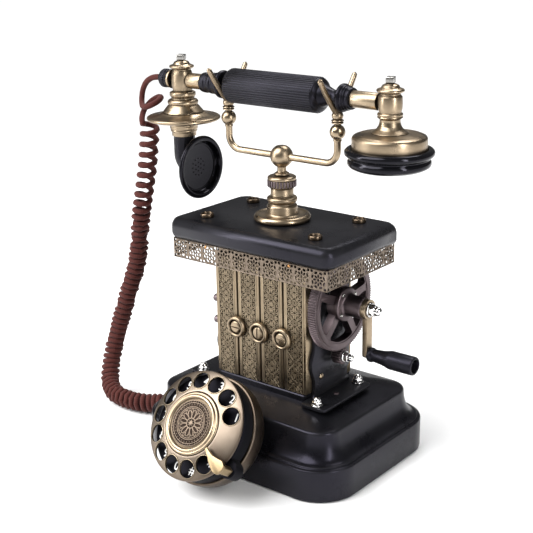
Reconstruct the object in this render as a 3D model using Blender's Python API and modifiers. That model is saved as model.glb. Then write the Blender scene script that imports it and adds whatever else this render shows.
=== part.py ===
"""Antique-style desk telephone with a rotary dial, a hand crank with its gears, and a horn handset.

The telephone stands on the XY plane. +X is the crank's side, -Y is the dial's side and +Z is up.
"""

import math

import bpy
import bmesh
from mathutils import Matrix, Vector

MM = 0.001
GAP = 0.3 * MM
SEGMENTS = 24
SMALL_SEGMENTS = 14

# Base: a plinth, a hollow flank, a sloping deck and a raised seat for the magnets.
BASE_HALF_X = 92 * MM
BASE_HALF_Y = 69 * MM
BASE_CORNER = 30 * MM
BASE_LIFT = 0.6 * MM
BASE_WALL = 3 * MM
PLINTH_TOP = 24.5 * MM
PLINTH_LEDGE = 2.6 * MM
SHOULDER_INSET = 14 * MM
SHOULDER_Z = 46 * MM
DECK_Z = 53 * MM
SEAT_Z = DECK_Z + 4.9 * MM
BASE_PLATE_THICKNESS = 2.5 * MM
CORNER_STEPS = 5

# Four upright magnets, each an inverted U, held between two side plates.
MAGNET_COUNT = 4
MAGNET_WIDTH = 19.6 * MM
MAGNET_SPACE = 1.6 * MM
MAGNET_HALF_DEPTH = 27.6 * MM
MAGNET_LEG = 12 * MM
MAGNET_HEIGHT = 91.8 * MM
MAGNET_TOP = SEAT_Z + GAP + MAGNET_HEIGHT
MAGNET_BRIDGE = 10 * MM
ROW_HALF_WIDTH = (MAGNET_COUNT * MAGNET_WIDTH + (MAGNET_COUNT - 1) * MAGNET_SPACE) / 2
BOSS_Z = 97.8 * MM
BOSS_RADIUS = 7.8 * MM
BOSS_HEIGHT = 3.4 * MM
PLATE_THICKNESS = 3 * MM
PLATE_HALF_WIDTH = 21 * MM
PLATE_BULGE = 3.9 * MM
PLATE_BULGE_Z = 80 * MM
PLATE_BULGE_SPAN = 15 * MM
FOOT_REACH = 21.5 * MM
FOOT_CENTRE_Y = -6 * MM
FOOT_HALF_LENGTH = 30 * MM
FOOT_THICKNESS = 2 * MM
FOOT_NUT_SPACING = 50.6 * MM
FOOT_NUT_INSET = 12 * MM
FOOT_NUT_RADIUS = 4.3 * MM

# Lid with its pierced frieze below.
LID_HALF_X = 74 * MM
LID_HALF_Y = 45 * MM
LID_ROOM = 11.4 * MM
LID_BOTTOM = MAGNET_TOP + LID_ROOM
LID_THICKNESS = 15 * MM
LID_TOP = LID_BOTTOM + LID_THICKNESS
LID_CHAMFER = 7 * MM
LID_ROUNDING = 5.5 * MM
LID_SCREW_X = LID_HALF_X - 24.8 * MM
LID_SCREW_Y = LID_HALF_Y - 18.6 * MM
LID_SCREW_RADIUS = 5 * MM
LID_SCREW_HEIGHT = 2.8 * MM
FRIEZE_HALF_X = LID_HALF_X - 4.2 * MM
FRIEZE_HALF_Y = LID_HALF_Y - 3.4 * MM
FRIEZE_HEIGHT = 14.8 * MM
FRIEZE_WALL = 1 * MM
SWITCH_SIZE = (26 * MM, 12 * MM, 7 * MM)

# Pedestal, knurled collar and the cradle that slides in them.
FLANGE_RADIUS = 20.9 * MM
PEDESTAL_RADIUS = 8.3 * MM
PEDESTAL_HEIGHT = 23.6 * MM
COLLAR_RADIUS = 10.7 * MM
COLLAR_HEIGHT = 8.6 * MM
STEM_RADIUS = 3.2 * MM
STEM_CLEARANCE = 0.5 * MM
CRADLE_BALL_RADIUS = 8.3 * MM
CRADLE_NECK = 14.1 * MM
CRADLE_BALL_Z = LID_TOP + GAP + PEDESTAL_HEIGHT + GAP + COLLAR_HEIGHT + CRADLE_NECK
HOOK_TRAVEL = 6 * MM
BAR_RADIUS = 2.5 * MM
BAR_BEND = 10 * MM
FORK_X = 48.7 * MM
KNUCKLE_Z = CRADLE_BALL_Z + 22.6 * MM
KNUCKLE_RADIUS = 5.5 * MM
KNOB_RADIUS = 4.1 * MM
KNOB_Z = KNUCKLE_Z + 11.6 * MM
PRONG_RADIUS = 2 * MM
PRONG_HALF_SPREAD = 21 * MM
PRONG_TOP = KNOB_Z + 26.5 * MM

# Handset: fluted grip on the X axis, transmitter head at -X and receiver head at +X.
HANDSET_Z = KNOB_Z + 12.2 * MM
TRANSMITTER_X = -FORK_X - 45.3 * MM
RECEIVER_X = FORK_X + 42.1 * MM
TRANSMITTER_TOP = HANDSET_Z + 14.6 * MM
RECEIVER_TOP = HANDSET_Z + 12.9 * MM
GRIP_START = -FORK_X + 2.9 * MM
GRIP_END = FORK_X - 13 * MM
GRIP_RADIUS = 12.6 * MM
GRIP_NECK_RADIUS = 4.4 * MM
GRIP_LEFT_END = -FORK_X - 23.3 * MM
GRIP_RIGHT_END = FORK_X + 12.8 * MM
ARM_TUBE_RADIUS = 5.8 * MM
BARREL_RADIUS = 8.2 * MM
BOLT_SIDE = 5.8 * MM
BOLT_HEIGHT = 4 * MM
FLANGE_DISC_RADIUS = 28 * MM
FLANGE_DISC_Z = HANDSET_Z - 28.2 * MM
HORN_RADIUS = 8.2 * MM
HORN_TOP = HANDSET_Z - 42.1 * MM
HORN_BEND = 9 * MM
MOUTH_Z = HANDSET_Z - 64.7 * MM
MOUTH_RADIUS = 24 * MM
MOUTH_INNER_RADIUS = 19.8 * MM
MOUTH_FACE_X = TRANSMITTER_X + 18 * MM
MOUTH_DEPTH = 4.8 * MM
DRUM_RADIUS = 25.2 * MM
DRUM_TOP = HANDSET_Z - 19.7 * MM
EAR_RADIUS = 30.2 * MM
EAR_TOP = HANDSET_Z - 29.7 * MM
EAR_BOTTOM = EAR_TOP - 13.8 * MM
GLAND_RADIUS = 7.1 * MM
GLAND_TIP = TRANSMITTER_X - 21.9 * MM

# Crank shaft, drive gear, pinion and armature, all on axes along X.
MODULE = 0.575 * MM
GEAR_TEETH = 120
PINION_TEETH = 20
MESH_CLEARANCE = 0.12 * MM
GEAR_LID_ROOM = 3.5 * MM
CRANK_Z = LID_BOTTOM - GEAR_LID_ROOM - MODULE * GEAR_TEETH / 2
GEAR_PLATE_ROOM = 3.3 * MM
GEAR_INNER_X = ROW_HALF_WIDTH + GAP + PLATE_THICKNESS + GEAR_PLATE_ROOM
GEAR_THICKNESS = 6.5 * MM
GEAR_SPOKES = 5
GEAR_SPOKE_WIDTH = 5.5 * MM
GEAR_FIRST_SPOKE = math.radians(11)
GEAR_RIM = 6.4 * MM
HUB_RADIUS = 12.5 * MM
HUB_THICKNESS = 2.8 * MM
SLEEVE_RADIUS = 7.8 * MM
SLEEVE_END_X = GEAR_INNER_X + 24.4 * MM
CRANK_SHAFT_RADIUS = 4 * MM
ARM_THICKNESS = 4 * MM
ARM_WIDTH = 7 * MM
ARM_BOSS_RADIUS = 7.2 * MM
ARM_LENGTH = 33.4 * MM
CRANK_NUT_RADIUS = 5.3 * MM
CRANK_NUT_LENGTH = 9.6 * MM
GRIP_PIN_RADIUS = 2 * MM
GRIP_PIN_LENGTH = 14 * MM
CRANK_GRIP_LENGTH = 37.6 * MM
CRANK_GRIP_RADIUS = 6.7 * MM
PINION_LENGTH = 7.4 * MM
PINION_SHAFT_RADIUS = 2.2 * MM
ARMATURE_ROOM = 2 * MM
ARMATURE_RADIUS = MAGNET_HALF_DEPTH - MAGNET_LEG - ARMATURE_ROOM
ARMATURE_HALF_LENGTH = ROW_HALF_WIDTH - 5.6 * MM

# Dial, tilted back, with its axis pointing at the user.
DIAL_TILT = math.radians(34.5)
DIAL_ROOM_UNDER = 19 * MM
DIAL_REACH = 30.7 * MM
WHEEL_RADIUS = 39.2 * MM
DIAL_CENTRE = Vector((0, -BASE_HALF_Y - DIAL_REACH, DIAL_ROOM_UNDER + WHEEL_RADIUS * math.cos(DIAL_TILT)))
WHEEL_THICKNESS = 1.6 * MM
WHEEL_DOME = 6.2 * MM
WHEEL_DOME_POWER = 2.6
WHEEL_RECESS_RADIUS = WHEEL_RADIUS - 16.3 * MM
WHEEL_BORE_RADIUS = 9 * MM
FINGER_HOLES = 12
FINGER_HOLE_RADIUS = 6.5 * MM
FINGER_CIRCLE_RADIUS = WHEEL_RADIUS - 8.1 * MM
FINGER_PITCH = math.radians(26)
FIRST_FINGER_HOLE = math.radians(25.4)
CAP_RADIUS = WHEEL_RECESS_RADIUS - 0.4 * MM
CAP_TOP = WHEEL_DOME + 0.4 * MM
NUMBER_PLATE_RADIUS = WHEEL_RADIUS - 1.4 * MM
NUMBER_PLATE_FRONT = -WHEEL_THICKNESS - 1.9 * MM
NUMBER_PLATE_BACK = NUMBER_PLATE_FRONT - 11.4 * MM
DIAL_HOUSING_RADIUS = WHEEL_RADIUS + 0.2 * MM
DIAL_HOUSING_DEPTH = WHEEL_RADIUS - 7.2 * MM
DIAL_HOUSING_WALL = 2.2 * MM
STOP_ANGLE = math.radians(-30)
STOP_Z = WHEEL_DOME + 0.2 * MM
STOP_THICKNESS = 1.4 * MM
STOP_INNER_RADIUS = WHEEL_RADIUS - 14.6 * MM
STOP_OUTER_RADIUS = WHEEL_RADIUS + 7.3 * MM

# Cord: a straight lead from the gland, then a curly cord down to its socket in the base.
CORD_RADIUS = 2.25 * MM
COIL_RADIUS = 7.9 * MM
SOCKET_Y = -22 * MM
SOCKET_Z = 10 * MM
SOCKET_RADIUS = 8.4 * MM
SOCKET_LENGTH = 3.4 * MM
LEAD_POINTS = [
    (-116.2, 0.0, 269.7), (-121.0, 0.0, 269.6), (-126.0, 0.0, 268.6), (-131.4, 0.0, 265.6),
    (-135.0, 0.0, 261.0), (-136.4, 0.0, 255.4), (-135.8, 0.0, 249.0), (-133.2, 0.0, 243.6),
    (-131.0, 0.0, 240.4), (-130.4, 0.0, 236.8),
]
COIL_POINTS = [
    (-130.4, 0.0, 235.4), (-130.7, 0.0, 227.6), (-134.3, 0.0, 203.3),
    (-138.0, 0.0, 186.6), (-142.2, 0.0, 169.6), (-145.6, 0.0, 154.1), (-149.7, 0.0, 129.7),
    (-153.5, -0.5, 112.2), (-159.0, -3.0, 95.0), (-165.4, -5.4, 74.7), (-170.7, -8.0, 56.7),
    (-173.8, -12.0, 39.0), (-173.0, -17.5, 24.5), (-167.6, -24.4, 13.6), (-156.5, -30.6, 8.9),
    (-141.5, -33.2, 8.4), (-125.5, -31.2, 8.4), (-114.0, -26.0, 8.8),
    (-105.6, -22.9, 9.7), (-96.9, -22.0, 10.0),
]

# Inside the base.
JACK_X = 34 * MM
JACK_SIZE = (16 * MM, 15 * MM, 14 * MM)
JACK_PORT = (10 * MM, 8 * MM)
JACK_Z = 13 * MM
BOARD_SIZE = (96 * MM, 58 * MM, 1.6 * MM)
RINGER_RADIUS = 19 * MM


# ---------------------------------------------------------------- helpers

def clear_scene():
    for item in list(bpy.data.objects):
        bpy.data.objects.remove(item)


def new_collection(name):
    group = bpy.data.collections.new(name)
    bpy.context.scene.collection.children.link(group)
    return group


def new_material(name, colour, roughness, metallic):
    finish = bpy.data.materials.new(name)
    finish.use_nodes = True
    shader = finish.node_tree.nodes["Principled BSDF"]
    shader.inputs["Base Color"].default_value = (*colour, 1)
    shader.inputs["Roughness"].default_value = roughness
    shader.inputs["Metallic"].default_value = metallic
    return finish


def add_object(name, data, finish, place=None, parent=None):
    item = bpy.data.objects.new(name, data)
    PARTS.objects.link(item)
    if finish:
        data.materials.append(finish)
    item.parent = parent
    item.matrix_basis = place or Matrix()
    return item


def as_cutter(item):
    PARTS.objects.unlink(item)
    CUTTERS.objects.link(item)
    item.hide_render = True
    item.display_type = "WIRE"
    return item


def as_mesh(item):
    """Turns an object into a plain mesh object with the same name, place and material, welded shut."""
    bpy.context.view_layer.update()
    graph = bpy.context.evaluated_depsgraph_get()
    data = bpy.data.meshes.new_from_object(item.evaluated_get(graph))
    shape = bmesh.new()
    shape.from_mesh(data)
    bmesh.ops.remove_doubles(shape, verts=shape.verts, dist=0.01 * MM)
    shape.to_mesh(data)
    shape.free()
    name, place, parent = item.name, item.matrix_basis.copy(), item.parent
    bpy.data.objects.remove(item)
    return add_object(name, data, None, place, parent)


def boolean(item, other, operation):
    step = item.modifiers.new(operation.lower(), "BOOLEAN")
    step.operation = operation
    step.solver = "EXACT"
    step.object = as_cutter(other)


def unite(item, *others):
    """Joins other solids into item and returns the joined mesh object."""
    for other in others:
        boolean(item, other, "UNION")
    return as_mesh(item)


def bevel(item, width, segments=1, angle=math.radians(40)):
    step = item.modifiers.new("rounded edges", "BEVEL")
    step.width = width
    step.segments = segments
    step.limit_method = "ANGLE"
    step.angle_limit = angle
    return step


def along_x(x=0, y=0, z=0):
    """A place whose local Z points along +X."""
    return Matrix.Translation((x, y, z)) @ Matrix.Rotation(math.pi / 2, 4, "Y")


def at(x=0, y=0, z=0):
    return Matrix.Translation((x, y, z))


def smooth(data):
    data.shade_smooth()
    data.set_sharp_from_angle(angle=math.radians(35))


def turned(name, profile, finish, place=None, parent=None, segments=SEGMENTS, hollow=False):
    """A turned piece about local Z. The profile lists (radius, height) down its outer side."""
    data = bpy.data.meshes.new(name)
    count = len(profile)
    edges = [(i, i + 1) for i in range(count - 1)]
    if hollow:
        edges.append((count - 1, 0))
    data.from_pydata([(radius, 0, height) for radius, height in profile], edges, [])
    item = add_object(name, data, finish, place, parent)
    screw = item.modifiers.new("turned", "SCREW")
    screw.axis = "Z"
    screw.angle = 2 * math.pi
    screw.steps = segments
    screw.render_steps = segments
    screw.use_merge_vertices = True
    screw.merge_threshold = 0.01 * MM
    screw.use_smooth_shade = True
    return item


def box(name, size, finish, place=None, parent=None):
    data = bpy.data.meshes.new(name)
    shape = bmesh.new()
    bmesh.ops.create_cube(shape, size=1)
    bmesh.ops.scale(shape, vec=size, verts=shape.verts)
    shape.to_mesh(data)
    shape.free()
    return add_object(name, data, finish, place, parent)


def cylinder(name, radius, length, finish, place=None, parent=None, segments=SMALL_SEGMENTS):
    data = bpy.data.meshes.new(name)
    shape = bmesh.new()
    bmesh.ops.create_cone(
        shape, cap_ends=True, segments=segments, radius1=radius, radius2=radius, depth=length
    )
    shape.to_mesh(data)
    shape.free()
    return add_object(name, data, finish, place, parent)


def flat(name, outlines, thickness, finish, place=None, parent=None):
    """A plate in the local XY plane, centred on it; outlines after the first are holes."""
    curve = bpy.data.curves.new(name, "CURVE")
    curve.dimensions = "2D"
    curve.fill_mode = "BOTH"
    curve.extrude = thickness / 2
    for outline in outlines:
        spline = curve.splines.new("POLY")
        spline.points.add(len(outline) - 1)
        for point, (x, y) in zip(spline.points, outline):
            point.co = (x, y, 0, 1)
        spline.use_cyclic_u = True
    return add_object(name, curve, finish, place, parent)


def tube(name, points, radius, finish, place=None, parent=None, resolution=3):
    curve = bpy.data.curves.new(name, "CURVE")
    curve.dimensions = "3D"
    curve.bevel_depth = radius
    curve.bevel_resolution = resolution
    curve.use_fill_caps = True
    spline = curve.splines.new("POLY")
    spline.points.add(len(points) - 1)
    for target, point in zip(spline.points, points):
        target.co = (*point, 1)
    return add_object(name, curve, finish, place, parent)


def circle(radius, count=SMALL_SEGMENTS, centre=(0, 0)):
    return [
        (centre[0] + radius * math.cos(2 * math.pi * i / count),
         centre[1] + radius * math.sin(2 * math.pi * i / count))
        for i in range(count)
    ]


def arc(centre, radius, start, end, steps):
    return [
        (centre[0] + radius * math.cos(start + (end - start) * i / steps),
         centre[1] + radius * math.sin(start + (end - start) * i / steps))
        for i in range(steps + 1)
    ]


def rounded_rectangle(half_x, half_y, corner, steps=CORNER_STEPS):
    points = []
    for quarter, (sx, sy) in enumerate(((1, 1), (-1, 1), (-1, -1), (1, -1))):
        centre = (sx * (half_x - corner), sy * (half_y - corner))
        start = quarter * math.pi / 2
        points += arc(centre, corner, start, start + math.pi / 2, steps)
    return points


def smooth_route(points, spacing):
    """Points at a steady spacing along a smooth curve through the given points."""
    knots = [Vector(p) for p in points]
    knots = [2 * knots[0] - knots[1]] + knots + [2 * knots[-1] - knots[-2]]
    fine = []
    for a, b, c, d in zip(knots, knots[1:], knots[2:], knots[3:]):
        for i in range(12):
            t = i / 12
            fine.append(0.5 * (2 * b + (c - a) * t + (2 * a - 5 * b + 4 * c - d) * t * t
                               + (3 * b - a - 3 * c + d) * t ** 3))
    fine.append(knots[-2])
    route, since = [fine[0]], 0.0
    for before, after in zip(fine, fine[1:]):
        since += (after - before).length
        if since >= spacing:
            route.append(after)
            since = 0.0
    if since < spacing / 2:
        route.pop()
    return route + [fine[-1]]


# ---------------------------------------------------------------- base

def base_sections(offset=0.0):
    """(half x, half y, corner, z) of the base's outline from the foot up, grown outwards by offset."""
    sections = [(0, BASE_LIFT), (0, PLINTH_TOP - 1 * MM), (1 * MM, PLINTH_TOP)]
    ledge = PLINTH_LEDGE
    sections.append((ledge, PLINTH_TOP + 0.6 * MM))
    rise = SHOULDER_Z - PLINTH_TOP - 1.5 * MM
    steps = 5
    for i in range(steps + 1):
        turn = math.pi / 2 * i / steps
        inset = ledge + (SHOULDER_INSET - ledge - 1 * MM) * math.sin(turn)
        height = PLINTH_TOP + 1.5 * MM + rise * (1 - math.cos(turn))
        sections.append((inset, height))
    sections.append((SHOULDER_INSET, SHOULDER_Z + 1 * MM))
    outline = []
    for inset, z in sections:
        grow = offset - inset
        outline.append((BASE_HALF_X + grow, BASE_HALF_Y + grow, BASE_CORNER + grow, z + offset))
    seat_x, seat_y = ROW_HALF_WIDTH - 0.1 * MM, MAGNET_HALF_DEPTH + 1 * MM
    deck = (seat_x + 3 * MM + offset, seat_y + 3 * MM + offset, 6 * MM + offset, DECK_Z + offset)
    wall = (seat_x + offset, seat_y + offset, 3 * MM + offset, DECK_Z + 0.1 * MM + offset)
    seat = (seat_x + offset, seat_y + offset, 3 * MM + offset, SEAT_Z + offset)
    return outline + [deck, wall, seat]


def loft(name, sections, finish, closed_bottom):
    """A skin through rounded rectangles of different sizes, capped at the top."""
    shape = bmesh.new()
    rings = []
    for half_x, half_y, corner, z in sections:
        outline = rounded_rectangle(half_x, half_y, corner)
        rings.append([shape.verts.new((x, y, z)) for x, y in outline])
    for low, high in zip(rings, rings[1:]):
        count = len(low)
        for i in range(count):
            j = (i + 1) % count
            shape.faces.new((low[i], low[j], high[j], high[i]))
    shape.faces.new(rings[-1])
    if closed_bottom:
        shape.faces.new(list(reversed(rings[0])))
    data = bpy.data.meshes.new(name)
    shape.to_mesh(data)
    shape.free()
    return add_object(name, data, finish)


def make_base():
    housing = loft("base_housing", base_sections(), BLACK_LACQUER, closed_bottom=False)
    shell = housing.modifiers.new("shell", "SOLIDIFY")
    shell.thickness = BASE_WALL
    shell.offset = -1
    shell.use_even_offset = True
    socket_hole = cylinder("socket_hole", SOCKET_RADIUS - 2 * MM + GAP, 3 * BASE_WALL, None,
                           along_x(-BASE_HALF_X, SOCKET_Y, SOCKET_Z), segments=SMALL_SEGMENTS)
    jack_hole = box("jack_hole", (JACK_SIZE[0] + 2 * GAP, 4 * BASE_WALL, JACK_SIZE[2] + 2 * GAP), None,
                    at(JACK_X, BASE_HALF_Y, JACK_Z))
    boolean(housing, socket_hole, "DIFFERENCE")
    boolean(housing, jack_hole, "DIFFERENCE")

    inset = BASE_WALL + GAP
    outline = rounded_rectangle(BASE_HALF_X - inset, BASE_HALF_Y - inset, BASE_CORNER - inset)
    flat("base_plate", [outline], BASE_PLATE_THICKNESS, DARK_STEEL, at(0, 0, BASE_PLATE_THICKNESS / 2))

    inner_x = -BASE_HALF_X + BASE_WALL
    collar = SOCKET_RADIUS - 2 * MM
    face = -BASE_HALF_X - SOCKET_LENGTH
    turned("cord_socket", [
        (COIL_RADIUS - 4 * MM, -face), (SOCKET_RADIUS - 0.8 * MM, -face), (SOCKET_RADIUS, -face - 0.8 * MM),
        (SOCKET_RADIUS, BASE_HALF_X + GAP), (collar, BASE_HALF_X + GAP), (collar, -inner_x - 2 * MM),
        (COIL_RADIUS - 4 * MM, -inner_x - 2 * MM),
    ], BLACK_PLASTIC, at(0, SOCKET_Y, SOCKET_Z) @ Matrix.Rotation(-math.pi / 2, 4, "Y"),
        segments=SMALL_SEGMENTS, hollow=True)

    jack_y = BASE_HALF_Y - JACK_SIZE[1] / 2 + 0.6 * MM
    jack = box("line_jack", JACK_SIZE, BLACK_PLASTIC, at(JACK_X, jack_y, JACK_Z))
    port = box("jack_port", (JACK_PORT[0], JACK_SIZE[1], JACK_PORT[1]), None,
               at(JACK_X, jack_y + 4 * MM, JACK_Z))
    boolean(jack, port, "DIFFERENCE")

    board_z = BASE_PLATE_THICKNESS + 6 * MM
    box("circuit_board", BOARD_SIZE, GREEN_BOARD, at(-20 * MM, 8 * MM, board_z))
    ringer_z = BASE_PLATE_THICKNESS + 5 * MM
    wall = 1.2 * MM
    dome = [(RINGER_RADIUS * math.sin(a), ringer_z + 0.8 * RINGER_RADIUS * math.cos(a))
            for a in (math.pi / 2 * i / 5 for i in range(6))]
    inner = [((RINGER_RADIUS - wall) * math.sin(a), ringer_z + (0.8 * RINGER_RADIUS - wall) * math.cos(a))
             for a in (math.pi / 2 * i / 5 for i in range(5, -1, -1))]
    turned("ringer", dome + inner, BRASS, at(56 * MM, -8 * MM, 0), segments=SMALL_SEGMENTS)


# ---------------------------------------------------------------- magnets and side plates

def magnet_positions():
    pitch = MAGNET_WIDTH + MAGNET_SPACE
    first = -pitch * (MAGNET_COUNT - 1) / 2
    return [first + pitch * i for i in range(MAGNET_COUNT)]


def make_magnets():
    depth, leg = MAGNET_HALF_DEPTH, MAGNET_LEG
    foot, under = SEAT_Z + GAP, MAGNET_TOP - MAGNET_BRIDGE
    outline = [
        (-depth, foot), (-depth + leg, foot), (-depth + leg, under), (depth - leg, under),
        (depth - leg, foot), (depth, foot), (depth, MAGNET_TOP), (-depth, MAGNET_TOP),
    ]
    upright = Matrix(((0, 0, 1, 0), (1, 0, 0, 0), (0, 1, 0, 0), (0, 0, 0, 1)))
    for number, x in enumerate(magnet_positions(), 1):
        flat(f"magnet_{number}", [outline], MAGNET_WIDTH, BRASS, at(x) @ upright)

    spaces = [x + (MAGNET_WIDTH + MAGNET_SPACE) / 2 for x in magnet_positions()[:-1]]
    for number, x in enumerate(spaces, 1):
        face = -MAGNET_HALF_DEPTH - GAP
        place = at(x, face, BOSS_Z) @ Matrix.Rotation(math.pi / 2, 4, "X")
        top, ring = BOSS_HEIGHT, BOSS_RADIUS
        turned(f"boss_{number}", [
            (0, top - 0.4 * MM), (3.9 * MM, top - 0.4 * MM), (4.2 * MM, top - 1.6 * MM),
            (5 * MM, top - 1.6 * MM), (5.4 * MM, top - 0.3 * MM), (6.2 * MM, top),
            (ring - 0.4 * MM, top - 0.8 * MM), (ring, 0), (0, 0),
        ], BRASS, place, segments=20)


def side_plate_outline():
    """(y, z) of the upright plate: wavy at the front, straight at the back."""
    bottom, top = DECK_Z + GAP, LID_BOTTOM - GAP
    front = []
    for i in range(13):
        z = bottom + (PLATE_BULGE_Z + PLATE_BULGE_SPAN + 4 * MM - bottom) * i / 12
        swell = math.cos(math.pi / 2 * min(1, abs(z - PLATE_BULGE_Z) / PLATE_BULGE_SPAN)) ** 2
        toe = max(0, 1 - (z - bottom) / (8 * MM)) ** 2
        front.append((-PLATE_HALF_WIDTH - PLATE_BULGE * swell - 4 * MM * toe, z))
    back = PLATE_HALF_WIDTH
    return front + [(-back, top), (back, top), (back, bottom)]


def make_side_plates():
    upright = Matrix(((0, 0, 1, 0), (1, 0, 0, 0), (0, 1, 0, 0), (0, 0, 0, 1)))
    inner = ROW_HALF_WIDTH + GAP
    shaft_hole = circle(CRANK_SHAFT_RADIUS + GAP, SMALL_SEGMENTS, (0, CRANK_Z))
    pinion_hole = circle(PINION_SHAFT_RADIUS + GAP, SMALL_SEGMENTS, (0, pinion_z()))
    corner = 3.5 * MM
    foot_z = DECK_Z + GAP + FOOT_THICKNESS / 2
    for side, name in ((-1, "left"), (1, "right")):
        x = side * (inner + PLATE_THICKNESS / 2)
        plate = as_mesh(flat(f"side_plate_{name}", [side_plate_outline(), shaft_hole, pinion_hole],
                             PLATE_THICKNESS, BLACK_LACQUER, at(x) @ upright))
        foot_x = side * (inner + FOOT_REACH / 2)
        outline = rounded_rectangle(FOOT_REACH / 2, FOOT_HALF_LENGTH, corner, 3)
        foot = as_mesh(flat(f"foot_{name}", [outline],
                            FOOT_THICKNESS, BLACK_LACQUER, at(foot_x, FOOT_CENTRE_Y, foot_z)))
        boolean(plate, foot, "UNION")
        for end, place in ((-1, "front"), (1, "back")):
            nut_x = side * (inner + FOOT_NUT_INSET)
            nut_y = FOOT_CENTRE_Y + end * FOOT_NUT_SPACING / 2
            nut_z = DECK_Z + FOOT_THICKNESS + 2 * GAP
            acorn_nut(f"foot_nut_{place}_{name}", FOOT_NUT_RADIUS, 6.4 * MM, at(nut_x, nut_y, nut_z))


def acorn_nut(name, radius, height, place, parent=None):
    """A domed cap nut on its washer, standing on local Z = 0."""
    dome = [(0.62 * radius * math.sin(a), height - 0.62 * radius * (1 - math.cos(a)))
            for a in (math.pi / 2 * i / 3 for i in range(4))]
    shank = 0.45 * height
    turned(name, dome + [
        (0.66 * radius, shank), (0.86 * radius, shank - 0.2 * MM), (0.86 * radius, 1.2 * MM),
        (radius, 1.2 * MM), (radius, 0), (0, 0),
    ], CHROME, place, parent, segments=12)


# ---------------------------------------------------------------- lid, frieze and pedestal

def make_lid():
    cut = LID_CHAMFER
    outline = []
    for sx, sy in ((1, 1), (-1, 1), (-1, -1), (1, -1)):
        corner = [(sx * LID_HALF_X, sy * (LID_HALF_Y - cut)), (sx * (LID_HALF_X - cut), sy * LID_HALF_Y)]
        outline += corner if sx * sy > 0 else corner[::-1]
    lid = as_mesh(flat("lid", [outline], LID_THICKNESS, BLACK_LACQUER,
                       at(0, 0, LID_BOTTOM + LID_THICKNESS / 2)))
    bevel(lid, LID_ROUNDING, 3, math.radians(60))
    boolean(lid, cylinder("stem_hole", STEM_RADIUS + STEM_CLEARANCE, 2 * LID_THICKNESS, None,
                          at(0, 0, LID_BOTTOM)), "DIFFERENCE")

    top = LID_TOP + GAP
    radius, height = LID_SCREW_RADIUS, LID_SCREW_HEIGHT
    number = 0
    for sx in (-1, 1):
        for sy in (-1, 1):
            number += 1
            turned(f"lid_screw_{number}", [
                (0, height - 0.6 * MM), (radius - 1.7 * MM, height - 0.6 * MM), (radius - 1.2 * MM, height),
                (radius - 0.5 * MM, height), (radius, height - 0.6 * MM), (radius, 0), (0, 0),
            ], BRASS, at(sx * LID_SCREW_X, sy * LID_SCREW_Y, top), segments=SMALL_SEGMENTS)

    outer_x, outer_y, wall = FRIEZE_HALF_X, FRIEZE_HALF_Y, FRIEZE_WALL
    outside = [(outer_x, outer_y), (-outer_x, outer_y), (-outer_x, -outer_y), (outer_x, -outer_y)]
    inside = [(x - math.copysign(wall, x), y - math.copysign(wall, y)) for x, y in outside]
    flat("frieze", [outside, inside], FRIEZE_HEIGHT, BRASS, at(0, 0, LID_BOTTOM - GAP - FRIEZE_HEIGHT / 2))

    switch_z = LID_BOTTOM - GAP - SWITCH_SIZE[2] / 2
    box("hook_switch", SWITCH_SIZE, BLACK_PLASTIC, at(0, 18 * MM, switch_z))


def make_pedestal():
    foot = LID_TOP + GAP
    top = foot + PEDESTAL_HEIGHT
    bore = STEM_RADIUS + STEM_CLEARANCE
    tube_r, flange = PEDESTAL_RADIUS, FLANGE_RADIUS
    drum, ring = tube_r + 2.8 * MM, tube_r + 2.8 * MM
    turned("pedestal", [
        (bore, top), (tube_r, top), (tube_r, top - 5.4 * MM), (ring - 0.8 * MM, top - 6 * MM),
        (ring, top - 8 * MM), (ring - 0.8 * MM, top - 10 * MM), (tube_r + 1 * MM, top - 11 * MM),
        (drum - 0.4 * MM, top - 12.4 * MM), (drum, top - 14 * MM), (drum, foot + 5 * MM),
        (flange - 6 * MM, foot + 4.2 * MM), (flange - 3 * MM, foot + 4.4 * MM),
        (flange - 0.8 * MM, foot + 3.6 * MM), (flange, foot + 2 * MM), (flange - 0.6 * MM, foot),
        (bore, foot),
    ], BRASS, hollow=True)

    low, high = top + GAP, top + GAP + COLLAR_HEIGHT
    turned("pedestal_collar", [
        (bore, high), (COLLAR_RADIUS - 0.9 * MM, high), (COLLAR_RADIUS, high - 0.9 * MM),
        (COLLAR_RADIUS, low + 0.9 * MM), (COLLAR_RADIUS - 0.9 * MM, low), (bore, low),
    ], GUNMETAL, hollow=True)
    return high


# ---------------------------------------------------------------- cradle

def make_cradle(collar_top, parent):
    stem_foot = LID_BOTTOM + 4 * MM
    shoulder = collar_top + GAP
    centre, radius = CRADLE_BALL_Z, CRADLE_BALL_RADIUS
    neck = 3.4 * MM
    start = math.asin(0.42)
    finish = math.pi - math.asin(neck / radius)
    ball = [(radius * math.sin(a), centre + radius * math.cos(a))
            for a in (start + (finish - start) * i / 9 for i in range(10))]
    turned("cradle_ball", [(0, ball[0][1])] + ball + [
        (neck, shoulder + 2.6 * MM), (5.3 * MM, shoulder + 1.6 * MM), (5.3 * MM, shoulder),
        (STEM_RADIUS, shoulder), (STEM_RADIUS, stem_foot), (0, stem_foot),
    ], BRASS, at(0, 0, -CRADLE_BALL_Z), parent, segments=24)

    top = KNUCKLE_Z - KNUCKLE_RADIUS + 0.4 * MM - CRADLE_BALL_Z
    for side, name in ((-1, "left"), (1, "right")):
        start_x = CRADLE_BALL_RADIUS + GAP
        bend = [(FORK_X - BAR_BEND * (1 - math.sin(a)), BAR_BEND * (1 - math.cos(a)))
                for a in (math.pi / 2 * i / 6 for i in range(7))]
        path = [(start_x, 0)] + bend + [(FORK_X, top - GAP)]
        tube(f"cradle_arm_{name}", [(side * x, 0, z) for x, z in path], BAR_RADIUS, BRASS, None, parent)
        make_fork(f"fork_{name}", side, parent)


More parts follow.
